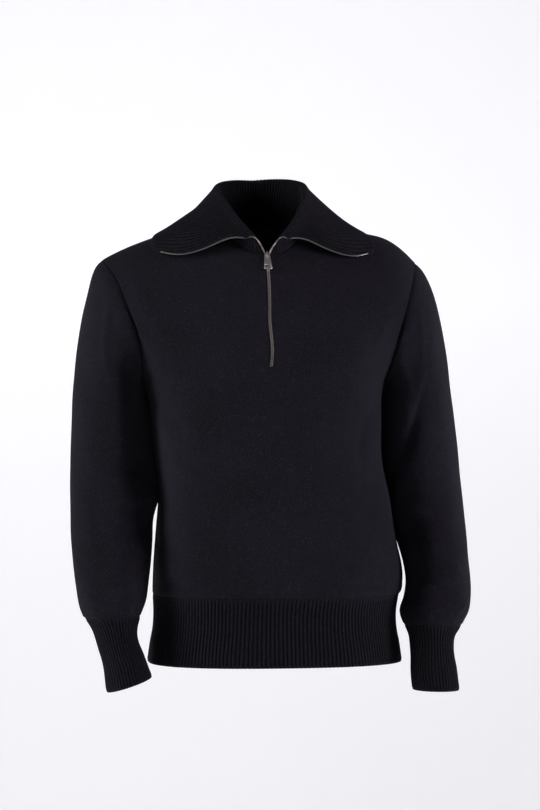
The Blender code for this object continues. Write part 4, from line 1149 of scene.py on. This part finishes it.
class PulloverColours(bpy.types.PropertyGroup):
    """Colours and finish of the wool, the zip and the stage."""
    wool: FloatVectorProperty(name="Wool", description="Plain knit", subtype="COLOR",
                              default=(0.0062, 0.0058, 0.0084))
    rib: FloatVectorProperty(name="Rib", description="Ribs of hem and cuffs", subtype="COLOR",
                             default=(0.0056, 0.0053, 0.0073))
    fleck: FloatVectorProperty(name="Fleck", description="Lighter fibres", subtype="COLOR",
                               default=(0.055, 0.052, 0.068))
    fleck_strength: FloatProperty(name="Fleck strength", description="How much of the fibres shows",
                                  default=0.40, min=0.0, max=1.0)
    # Brightness of the painted shade in rib grooves and along seams
    groove_painted_shade: FloatProperty(name="Groove shade", description="Brightness of a rib's grooves",
                                default=0.5, min=0.0, max=1.0)
    sheen: FloatProperty(name="Sheen", description="Light that the nap catches at its edges",
                         default=0.02, min=0.0, max=1.0)
    sheen_tint: FloatVectorProperty(name="Sheen tint", description="Colour of the nap's light",
                                    subtype="COLOR", default=(0.72, 0.70, 0.86))
    metal: FloatVectorProperty(name="Metal", description="Slider and pull", subtype="COLOR",
                               default=(0.92, 0.87, 0.83))
    teeth: FloatVectorProperty(name="Teeth", description="Zip teeth", subtype="COLOR",
                               default=(0.50, 0.45, 0.40))
    tape: FloatVectorProperty(name="Tape", description="Zip tape", subtype="COLOR",
                              default=(0.045, 0.042, 0.042))
    paper: FloatVectorProperty(name="Paper", description="Floor and backdrop", subtype="COLOR",
                               default=(0.86, 0.865, 0.875))


def settings():
    scene = bpy.context.scene
    return scene.pullover_sizes, scene.pullover_colours


def finish(name):
    """A material by name, made when it is first asked for."""
    if name in bpy.data.materials:
        return bpy.data.materials[name]
    sizes, colours = settings()
    if "Knit stitches" not in bpy.data.node_groups:
        knit_group()
        wool_group()
    wale, course = sizes.wale / MM, sizes.course / MM
    depth = sizes.stitch_depth / MM
    made = {
        "Wool jersey": lambda: make_wool(name, colours, colours.wool, wale, course, depth),
        "Wool rib": lambda: make_wool(name, colours, colours.rib, wale * 0.9, course, depth),
        "Seam yarn": lambda: make_wool(name, colours, colours.rib, wale, course, depth),
        "Zip metal": lambda: make_metal(name, colours.metal, METAL_ROUGH),
        "Zip teeth metal": lambda: make_metal(name, colours.teeth, TEETH_ROUGH),
        "Zip tape": lambda: make_tape_cloth(name, colours.tape),
        "Studio paper": lambda: make_paper(name, colours.paper),
    }
    return made[name]()


def panel_surface(side):
    """Points, normals and slit rows of the front (side -1) or back (+1), without fine creases."""
    height, out, slit_rows = panel_grid(side)
    points = body_point(side, out, height)
    if side < 0:
        points[..., 0] += zip_pull_over(out, height)
    normals = grid_normals(points, flip=side > 0)
    folds = FRONT_FOLDS if side < 0 else BACK_FOLDS
    relief = fold_height(folds, points[..., 0], points[..., 2])
    relief *= ease((points[..., 2] - HEM_SEAM) / FOLD_CALM)
    relief[:, [0, -1]] = 0
    points += normals * relief[..., None]
    return points, grid_normals(points, flip=side > 0), slit_rows, out


def make_panel(name, side, creases, material):
    sizes, _ = settings()
    points, normals, slit_rows, out = panel_surface(side)
    from_edge = edge_distance(points)
    from_hem = points[..., 2] - HEM_SEAM
    from_top = -lengths(points)[..., 1] / MM
    calm = ease(from_edge / CALM_SIDE) * ease(from_top / CALM_TOP)
    relief = fold_height(creases, points[..., 0], points[..., 2]) * sizes.crease_strength
    relief += waves(points[..., 0], points[..., 2]) + gathers(points[..., 0], from_hem, side)
    relief *= calm * ease(from_hem / CALM_RIB)
    middle = out.shape[1] // 2 - 1
    holes = []
    if side < 0:
        holes = [(row, middle) for row in range(slit_rows)]
        beside = np.abs(out) - SLIT_HALF + np.clip(SLIT_END - points[..., 2], 0, None)
        height, place, swell, dip = SLIT_SWELL
        relief += height * np.exp(-((beside - place) / swell) ** 2)
        relief -= height * np.exp(-(beside / dip) ** 2)
    from_seam = np.minimum(from_edge, np.minimum(from_top, from_hem))
    # Painted shade along the seams, in the groove that they pull in
    groove = np.exp(-(from_seam / SEAM_SHADE_WIDTH) ** 2)
    relief += seam_relief(from_seam)
    points = points + normals * relief[..., None]
    wall = normals.copy()
    armpit = ARM_SIDES // 2 * FINE
    angles = np.linspace(0, np.pi, armpit + 1) * -side
    for column, hand in ((0, -1), (-1, 1)):
        wall[:armpit + 1, column] = armhole_normal(hand, angles)
        wall[armpit + 1:, column] = (hand, 0, 0)
        for near in range(1, EDGE_TURN):
            index = near if column == 0 else -1 - near
            wall[:, index] = unit(wall[:, index] * near + wall[:, column] * (EDGE_TURN - near))
    inner = points - wall * JERSEY
    return make_shell(name, points, inner, {"groove": groove * SEAM_SHADE}, material, holes=holes)


def make_sleeve(name, side, table, folds, creases, material):
    sizes, _ = settings()
    angles = np.linspace(-np.pi, np.pi, ARM_SIDES * FINE, endpoint=False)
    stations = finer(SLEEVE_ROWS, FINE)
    station, angle = np.meshgrid(stations, angles, indexing="ij")
    points = tube_point(table, station, angle)
    fade = (1 - ease(station / ARMHOLE_BLEND))[..., None]
    points += (armhole_point(side, angle) - tube_point(table, 0 * station, angle)) * fade
    normals = grid_normals(points, around=True, flip=side > 0)
    calm = ease(station / SLEEVE_CALM[0]) * ease((stations[-1] - station) / SLEEVE_CALM[1])
    relief = around_relief(folds, angle, station) * calm
    points += normals * relief[..., None]
    normals = grid_normals(points, around=True, flip=side > 0)
    down = -lengths(points)[..., 1] / MM
    from_cuff = down[-1:] - down
    relief = around_relief(creases, angle, station) * sizes.crease_strength
    relief += waves(angle * SLEEVE_ROUND, down + side * 90) * (1 + np.cos(angle)) / 2
    relief += gathers(np.sin(angle / 2) * SLEEVE_ROUND * 2, from_cuff, side + 4)
    relief *= ease(down / CALM_ARMHOLE) * ease(from_cuff / CALM_RIB)
    if side < 0:
        for centre, spread, first, last, soft, height in SLEEVE_PRESS:
            near = np.exp(-(((np.degrees(angle) - centre + 180) % 360 - 180) / spread) ** 2)
            relief += height * near * ease((station - first) / soft) * ease((last - station) / soft)
    under = np.abs(np.abs(angle) - np.pi) * SLEEVE_ROUND * UNDER_ROUND
    from_seam = np.minimum(np.minimum(down, from_cuff), under)
    relief += seam_relief(from_seam)
    # Painted shade along the seams, in the groove that they pull in
    groove = np.exp(-(from_seam / SEAM_SHADE_WIDTH) ** 2) * SEAM_SHADE
    relief += SOLID_WALL * ease(station / SLEEVE_SWELL)
    points = points + normals * relief[..., None]
    wall = normals.copy()
    wall[0] = armhole_normal(side, angles)
    inner = points - wall * JERSEY
    return make_shell(name, points, inner, {"groove": groove}, material, around=True)


def around_relief(folds, angle, station):
    """Folds and creases of a sleeve, from a table of angles and stations."""
    total = 0
    for turn in (-360, 0, 360):
        scaled = [(np.radians(row[0] + turn) * SLEEVE_ROUND, row[1] * STATION_PITCH,
                   np.radians(row[2] + turn) * SLEEVE_ROUND, row[3] * STATION_PITCH, *row[4:])
                  for row in folds]
        total = total + fold_height(scaled, (angle % (2 * np.pi)) * SLEEVE_ROUND,
                                    station * STATION_PITCH)
    return total


def make_cuff(name, side, table, material):
    sizes, _ = settings()
    columns = CUFF_RIBS * RIB_STEPS
    angles = np.linspace(-np.pi, np.pi, columns, endpoint=False)
    last = table[-1][0]
    station, angle = np.meshgrid(np.linspace(0, last, CUFF_STEPS), angles, indexing="ij")
    points = tube_point(table, station, angle)
    normals = grid_normals(points, around=True, flip=side > 0)
    phase = angle / (2 * np.pi) * CUFF_RIBS + 0.12 * np.sin(station * 1.7 + angle * 3)
    rib = rib_relief(phase)
    end = ease(station / 0.25) * ease((last - station) / 0.1)
    buckle = 0.5 * np.sin(station * 2.2 + np.sin(angle + side) * 2) * ease((last - station) / 1.5)
    rise = rib * (RIB_START + (1 - RIB_START) * end) * sizes.rib_depth / MM + buckle
    outer = points + normals * (CUFF_OUT + rise)[..., None]
    depth = RIB_WALL - CUFF_OUT - buckle - RIB_INSIDE * rib_relief(phase + 0.5)
    inner = points - normals * depth[..., None]
    # The groove value paints shade into the cuff rib's grooves
    return make_shell(name, outer, inner, {"groove": (1 - rib) * end}, material, around=True)


def make_hem(name, side, material):
    sizes, _ = settings()
    turn = np.linspace(-np.pi / 2, np.pi / 2, HEM_RIBS * RIB_STEPS + 1)
    height, angle = np.meshgrid(np.linspace(HEM_SEAM, HEM_END, HEM_STEPS), turn, indexing="ij")
    out = np.sin(angle) * smooth(TORSO, height)[..., 0]
    points = body_point(side, out, height)
    normals = grid_normals(points, flip=side > 0)
    normals[:, 0] = (-1, 0, 0)
    normals[:, -1] = (1, 0, 0)
    down = (HEM_SEAM - height) / (HEM_SEAM - HEM_END)
    phase = (angle / np.pi + 0.5) * HEM_RIBS + 0.18 * np.sin(angle * 9 + side) * down
    rib = rib_relief(phase)
    end = ease(down / 0.06) * ease((1 - down) / 0.03)
    sway = 0.8 * np.sin(angle * 7 + 2 * side) * down ** 2 * np.cos(angle)
    rise = rib * (RIB_START + (1 - RIB_START) * end) * sizes.rib_depth / MM + sway
    outer = points + normals * rise[..., None]
    inner = points - normals * (RIB_WALL - sway - RIB_INSIDE * rib_relief(phase + 0.5))[..., None]
    # The groove value paints shade into the hem rib's grooves
    return make_shell(name, outer, inner, {"groove": (1 - rib) * end}, material)


def make_collar(material):
    sizes, _ = settings()
    columns = COLLAR_RIBS * RIB_STEPS + 1
    points, normals = collar_grid(columns)
    turn = np.linspace(-1, 1, columns)[None, :]
    row = np.linspace(0, 1, len(points))[:, None]
    leaf = ease((row - 0.42) / 0.3)
    sway = 1.1 * np.sin(turn * 11 + row * 3) + 0.7 * np.sin(turn * 23 - row * 5 + 1)
    sway = leaf * sway * ease((1 - np.abs(turn)) / 0.08)
    phase = (turn + 1) / 2 * COLLAR_RIBS + 0.10 * np.sin(turn * 17 + row * 6)
    rib = rib_relief(phase)
    edge = ease(row / 0.03) * ease((1 - row) / 0.02) * ease((1 - np.abs(turn)) / 0.012)
    rise = (rib - 0.5) * edge * sizes.rib_depth / MM
    outer = points + normals * (JERSEY / 2 + COLLAR_RAISE + rise + sway)[..., None]
    depth = JERSEY / 2 - sway - 0.6 * (0.5 - rib_relief(phase + 0.5)) * edge
    inner = points - normals * depth[..., None]
    # The groove value paints shade into the collar rib's grooves
    return make_shell("collar_knit", outer, inner, {"groove": (1 - rib) * edge}, material)


def tape_path(side):
    """Middle line, direction across and facing of one side of the zip, from below to the corner."""
    height = np.linspace(SLIT_END + TAPE_START, FRONT_NECK, 60)
    low = body_point(-1, 0 * height + SLIT_HALF, height)
    low[:, 0] = ZIP_X + side * TAPE_MIDDLE + zip_wave(height)
    slope = np.gradient(low, axis=0)
    slit_normals = unit(np.stack([0 * height, -slope[:, 2], slope[:, 1]], axis=-1))
    low -= slit_normals * (TAPE_THICK / 2)
    collar, collar_normals = collar_grid(COLLAR_RIBS * 2 + 1)
    end = -1 if side > 0 else 0
    edge, face = collar[:, end], -collar_normals[:, end]
    away = unit(np.cross(np.gradient(edge, axis=0), face))
    away *= np.sign((away * (edge - collar[:, end - side])).sum())
    path = np.concatenate([low[:-2], edge[1:] + away[1:] * (TAPE_WIDE / 2)])
    across = np.concatenate([np.tile([-float(side), 0, 0], (len(low) - 2, 1)), away[1:]])
    facing = np.concatenate([slit_normals[:-2], face[1:]])
    for _ in range(6):
        path[1:-1] = (path[:-2] + 2 * path[1:-1] + path[2:]) / 4
        across[1:-1] = unit(across[:-2] + 2 * across[1:-1] + across[2:])
        facing[1:-1] = unit(facing[:-2] + 2 * facing[1:-1] + facing[2:])
    return path, across, facing


def make_tape(name, side, material):
    """A woven strip that carries one row of teeth."""
    path, across, facing = tape_path(side)
    offsets = np.linspace(-1, 1, 5)
    lines = [path + across * (TAPE_WIDE / 2 * place) for place in offsets]
    outer = np.stack(lines, axis=1) + facing[:, None] * 0.1
    inner = outer - facing[:, None] * 0.9
    return make_shell(name, outer, inner, {"groove": 0 * outer[..., 0]}, material)


def soften_node(name, body, material):
    """A copy of a metal CAD node with rounded edges, which stands for it."""
    sizes, _ = settings()
    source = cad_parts[name]
    work = bmesh.new()
    work.from_mesh(source.data)
    bmesh.ops.remove_doubles(work, verts=work.verts, dist=SAME_POINT)
    bmesh.ops.dissolve_limit(work, angle_limit=np.radians(FLAT_BELOW), verts=work.verts,
                             edges=work.edges)
    bmesh.ops.recalc_face_normals(work, faces=work.faces)
    mesh = bpy.data.meshes.new(name + "_metal")
    work.to_mesh(mesh)
    work.free()
    mesh.materials.append(material)
    made = bpy.data.objects.new(name + "_metal", mesh)
    bpy.context.scene.collection.objects.link(made)
    change = made.modifiers.new("Soft edges", "BEVEL")
    change.width = sizes.edge_softness
    change.segments = 2
    change.limit_method = "ANGLE"
    change.angle_limit = np.radians(BEVEL_ABOVE)
    shown = made.evaluated_get(bpy.context.evaluated_depsgraph_get())
    made.modifiers.clear()
    made.data = bpy.data.meshes.new_from_object(shown)
    made.data.shade_smooth()
    made.data.set_sharp_from_angle(angle=np.radians(SHARP_ABOVE))
    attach(made, body)
    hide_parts(name)
    return made


def dress(piece, node_name):
    """Fix a cloth piece to the garment, in its solid's place, and hide that solid."""
    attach(piece, GARMENT)
    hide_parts(node_name)
    return piece


class PULLOVER_OT_body(bpy.types.Operator):
    """Front and back panels of plain knit, from neck and shoulders to the hem seam"""
    bl_idname = "pullover.body"
    bl_label = "Front and back"

    def execute(self, context):
        wool = finish("Wool jersey")
        front = make_panel("front_knit", -1, FRONT_CREASES, wool)
        back = make_panel("back_knit", 1, BACK_CREASES, wool)
        dress(front, "front")
        dress(back, "back")
        return {"FINISHED"}


class PULLOVER_OT_sleeves(bpy.types.Operator):
    """Both sleeves, from the armhole seam to the cuff seam"""
    bl_idname = "pullover.sleeves"
    bl_label = "Sleeves"

    def execute(self, context):
        wool = finish("Wool jersey")
        right = make_sleeve("sleeve_right_knit", -1, SLEEVE_RIGHT, SLEEVE_FOLDS_RIGHT,
                            SLEEVE_CREASES_RIGHT, wool)
        left = make_sleeve("sleeve_left_knit", 1, SLEEVE_LEFT, SLEEVE_FOLDS_LEFT,
                           SLEEVE_CREASES_LEFT, wool)
        dress(right, "sleeve_right")
        dress(left, "sleeve_left")
        return {"FINISHED"}


class PULLOVER_OT_ribs(bpy.types.Operator):
    """Rib cuffs, the two halves of the hem rib and the folded collar"""
    bl_idname = "pullover.ribs"
    bl_label = "Ribs"

    def execute(self, context):
        rib = finish("Wool rib")
        right = make_cuff("cuff_right_knit", -1, CUFF_RIGHT, rib)
        left = make_cuff("cuff_left_knit", 1, CUFF_LEFT, rib)
        dress(right, "cuff_right")
        dress(left, "cuff_left")
        dress(make_hem("hem_front_knit", -1, rib), "hem_rib_front")
        dress(make_hem("hem_back_knit", 1, rib), "hem_rib_back")
        dress(make_collar(rib), "collar")
        return {"FINISHED"}


class PULLOVER_OT_seams(bpy.types.Operator):
    """Linked seams at the armholes, shoulders, sides, hem and cuffs"""
    bl_idname = "pullover.seams"
    bl_label = "Seams"

    def execute(self, context):
        tree = path_tree("Stitches along a seam", tooth=False)
        paths = []
        turn = np.linspace(0, 2 * np.pi, 160, endpoint=False)
        for side, cuff in ((-1, CUFF_RIGHT), (1, CUFF_LEFT)):
            ring = armhole_point(side, turn)
            facing = armhole_normal(side, turn)
            paths.append((ring - facing * ARMHOLE_SINK, facing, True))
            ring = tube_point(cuff, 0 * turn, turn)
            facing = unit(ring - ring.mean(axis=0))
            paths.append((ring - facing * SEAM_SINK, facing, True))
            out = np.linspace(NECK_HALF, SHOULDER_TIP, 50) * side
            height = shoulder_line(out)
            line = np.stack([smooth(TORSO, height)[..., 1] + out, 0 * out, height], axis=-1)
            facing = np.tile([0, 0, 1.0], (len(line), 1))
            paths.append((line - facing * SEAM_SINK, facing, False))
            height = np.linspace(ARMPIT - 2, HEM_SEAM, 90)
            section = smooth(TORSO, height)
            line = np.stack([section[..., 1] + side * section[..., 0], 0 * height, height], axis=-1)
            facing = np.tile([float(side), 0, 0], (len(line), 1))
            paths.append((line - facing * SEAM_SINK, facing, False))
        angle = np.linspace(-np.pi / 2, np.pi / 2, 120)
        section = smooth(TORSO, np.array(float(HEM_SEAM)))
        ring = []
        for side, turns in ((-1, angle), (1, angle[::-1])):
            ring.append(body_point(side, np.sin(turns) * section[0], 0 * turns + HEM_SEAM)[:-1])
        ring = np.concatenate(ring)
        facing = unit((ring - ring.mean(axis=0)) * (1, 1, 0))
        paths.append((ring - facing * SEAM_SINK, facing, True))
        seams = along_paths("seam_stitches", paths, tree, STITCH_PITCH, STITCH_SIZE,
                            finish("Seam yarn"))
        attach(seams, GARMENT)
        return {"FINISHED"}


class PULLOVER_OT_zip(bpy.types.Operator):
    """Zip tapes, teeth, slider and pull"""
    bl_idname = "pullover.zip"
    bl_label = "Zip"

    def execute(self, context):
        cloth = finish("Zip tape")
        tree = path_tree("Teeth along a tape", tooth=True)
        for name, side in (("zip_tape_right", -1), ("zip_tape_left", 1)):
            tape = make_tape(name + "_woven", side, cloth)
            path, _, facing = tape_path(side)
            dress(tape, name)
            lift = path + facing * TOOTH_SIZE[2] * 0.35
            shift = 0.5 * TOOTH_PITCH * (side > 0)
            lift[0] += unit(lift[1] - lift[0]) * shift
            teeth = along_paths(name + "_teeth", [(lift, facing, False)], tree, TOOTH_PITCH,
                                TOOTH_SIZE, finish("Zip teeth metal"))
            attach(teeth, GARMENT)
        soften_node("zip_slider", GARMENT, finish("Zip metal"))
        soften_node("zip_pull", PULL, finish("Zip metal"))
        return {"FINISHED"}


def add_light(name, place, target, size, power, colour):
    """A soft rectangular lamp."""
    data = bpy.data.lights.new(name, "AREA")
    data.shape = "RECTANGLE"
    data.size, data.size_y = size
    data.energy = power
    data.color = colour
    lamp = bpy.data.objects.new(name, data)
    lamp.location = place
    lamp.rotation_euler = (Vector(target) - Vector(place)).to_track_quat("-Z", "Y").to_euler()
    bpy.context.scene.collection.objects.link(lamp)


class PULLOVER_OT_stage(bpy.types.Operator):
    """Floor, backdrop, lights and camera"""
    bl_idname = "pullover.stage"
    bl_label = "Stage"

    def execute(self, context):
        scene = context.scene
        turns = np.linspace(0, np.pi / 2, 13)
        line = [(-STAGE_HALF, FLOOR_HEIGHT)]
        line += [(STAGE_DEEP - STAGE_BEND + STAGE_BEND * np.sin(turn),
                  FLOOR_HEIGHT + STAGE_BEND * (1 - np.cos(turn))) for turn in turns]
        line.append((STAGE_DEEP, STAGE_DEEP))
        points = [(x * MM, y * MM, z * MM) for y, z in line for x in (-STAGE_HALF, STAGE_HALF)]
        faces = [(2 * i, 2 * i + 1, 2 * i + 3, 2 * i + 2) for i in range(len(line) - 1)]
        mesh = bpy.data.meshes.new("backdrop")
        mesh.from_pydata(points, [], faces)
        mesh.shade_smooth()
        mesh.materials.append(finish("Studio paper"))
        backdrop = bpy.data.objects.new("backdrop", mesh)
        scene.collection.objects.link(backdrop)
        for name, place, size, power, colour in LAMPS:
            add_light(name, place, LAMP_TARGET, size, power, colour)
        world = bpy.data.worlds.new("Studio")
        world.use_nodes = True
        world.node_tree.nodes["Background"].inputs[0].default_value = ROOM_COLOUR
        world.node_tree.nodes["Background"].inputs[1].default_value = ROOM_LIGHT
        scene.world = world
        scene.view_settings.view_transform = "Standard"
        turn = np.radians(CAMERA_AZIMUTH)
        back = np.array([np.sin(turn), -np.cos(turn), 0])
        right = np.array([np.cos(turn), np.sin(turn), 0])
        place = back * CAMERA_AWAY + right * CAMERA_ASIDE + (0, 0, CAMERA_HEIGHT)
        data = bpy.data.cameras.new("camera")
        data.lens = CAMERA_LENS
        data.sensor_width = CAMERA_SENSOR
        data.clip_end = CAMERA_CLIP
        camera = bpy.data.objects.new("camera", data)
        camera.location = place * MM
        camera.rotation_euler = Vector(-back).to_track_quat("-Z", "Y").to_euler()
        scene.collection.objects.link(camera)
        scene.camera = camera
        return {"FINISHED"}


STEPS = (PULLOVER_OT_body, PULLOVER_OT_sleeves, PULLOVER_OT_ribs, PULLOVER_OT_seams,
         PULLOVER_OT_zip, PULLOVER_OT_stage)


class PULLOVER_PT_panel(bpy.types.Panel):
    """Sizes, colours and steps of the pullover"""
    bl_idname = "PULLOVER_PT_panel"
    bl_label = "Half-zip pullover"
    bl_space_type = "VIEW_3D"
    bl_region_type = "UI"
    bl_category = "Pullover"

    def draw(self, context):
        for group in (context.scene.pullover_sizes, context.scene.pullover_colours):
            box = self.layout.box()
            for key in group.bl_rna.properties.keys():
                if key not in ("rna_type", "name"):
                    box.prop(group, key)
        for step in STEPS:
            self.layout.operator(step.bl_idname)


CLASSES = (PulloverSizes, PulloverColours) + STEPS + (PULLOVER_PT_panel,)


def register():
    for item in CLASSES:
        bpy.utils.register_class(item)
    bpy.types.Scene.pullover_sizes = PointerProperty(type=PulloverSizes)
    bpy.types.Scene.pullover_colours = PointerProperty(type=PulloverColours)


def unregister():
    del bpy.types.Scene.pullover_colours
    del bpy.types.Scene.pullover_sizes
    for item in reversed(CLASSES):
        bpy.utils.unregister_class(item)


def main():
    register()
    for step in STEPS:
        group, name = step.bl_idname.split(".")
        getattr(getattr(bpy.ops, group), name)()


if __name__ == "__main__":
    main()
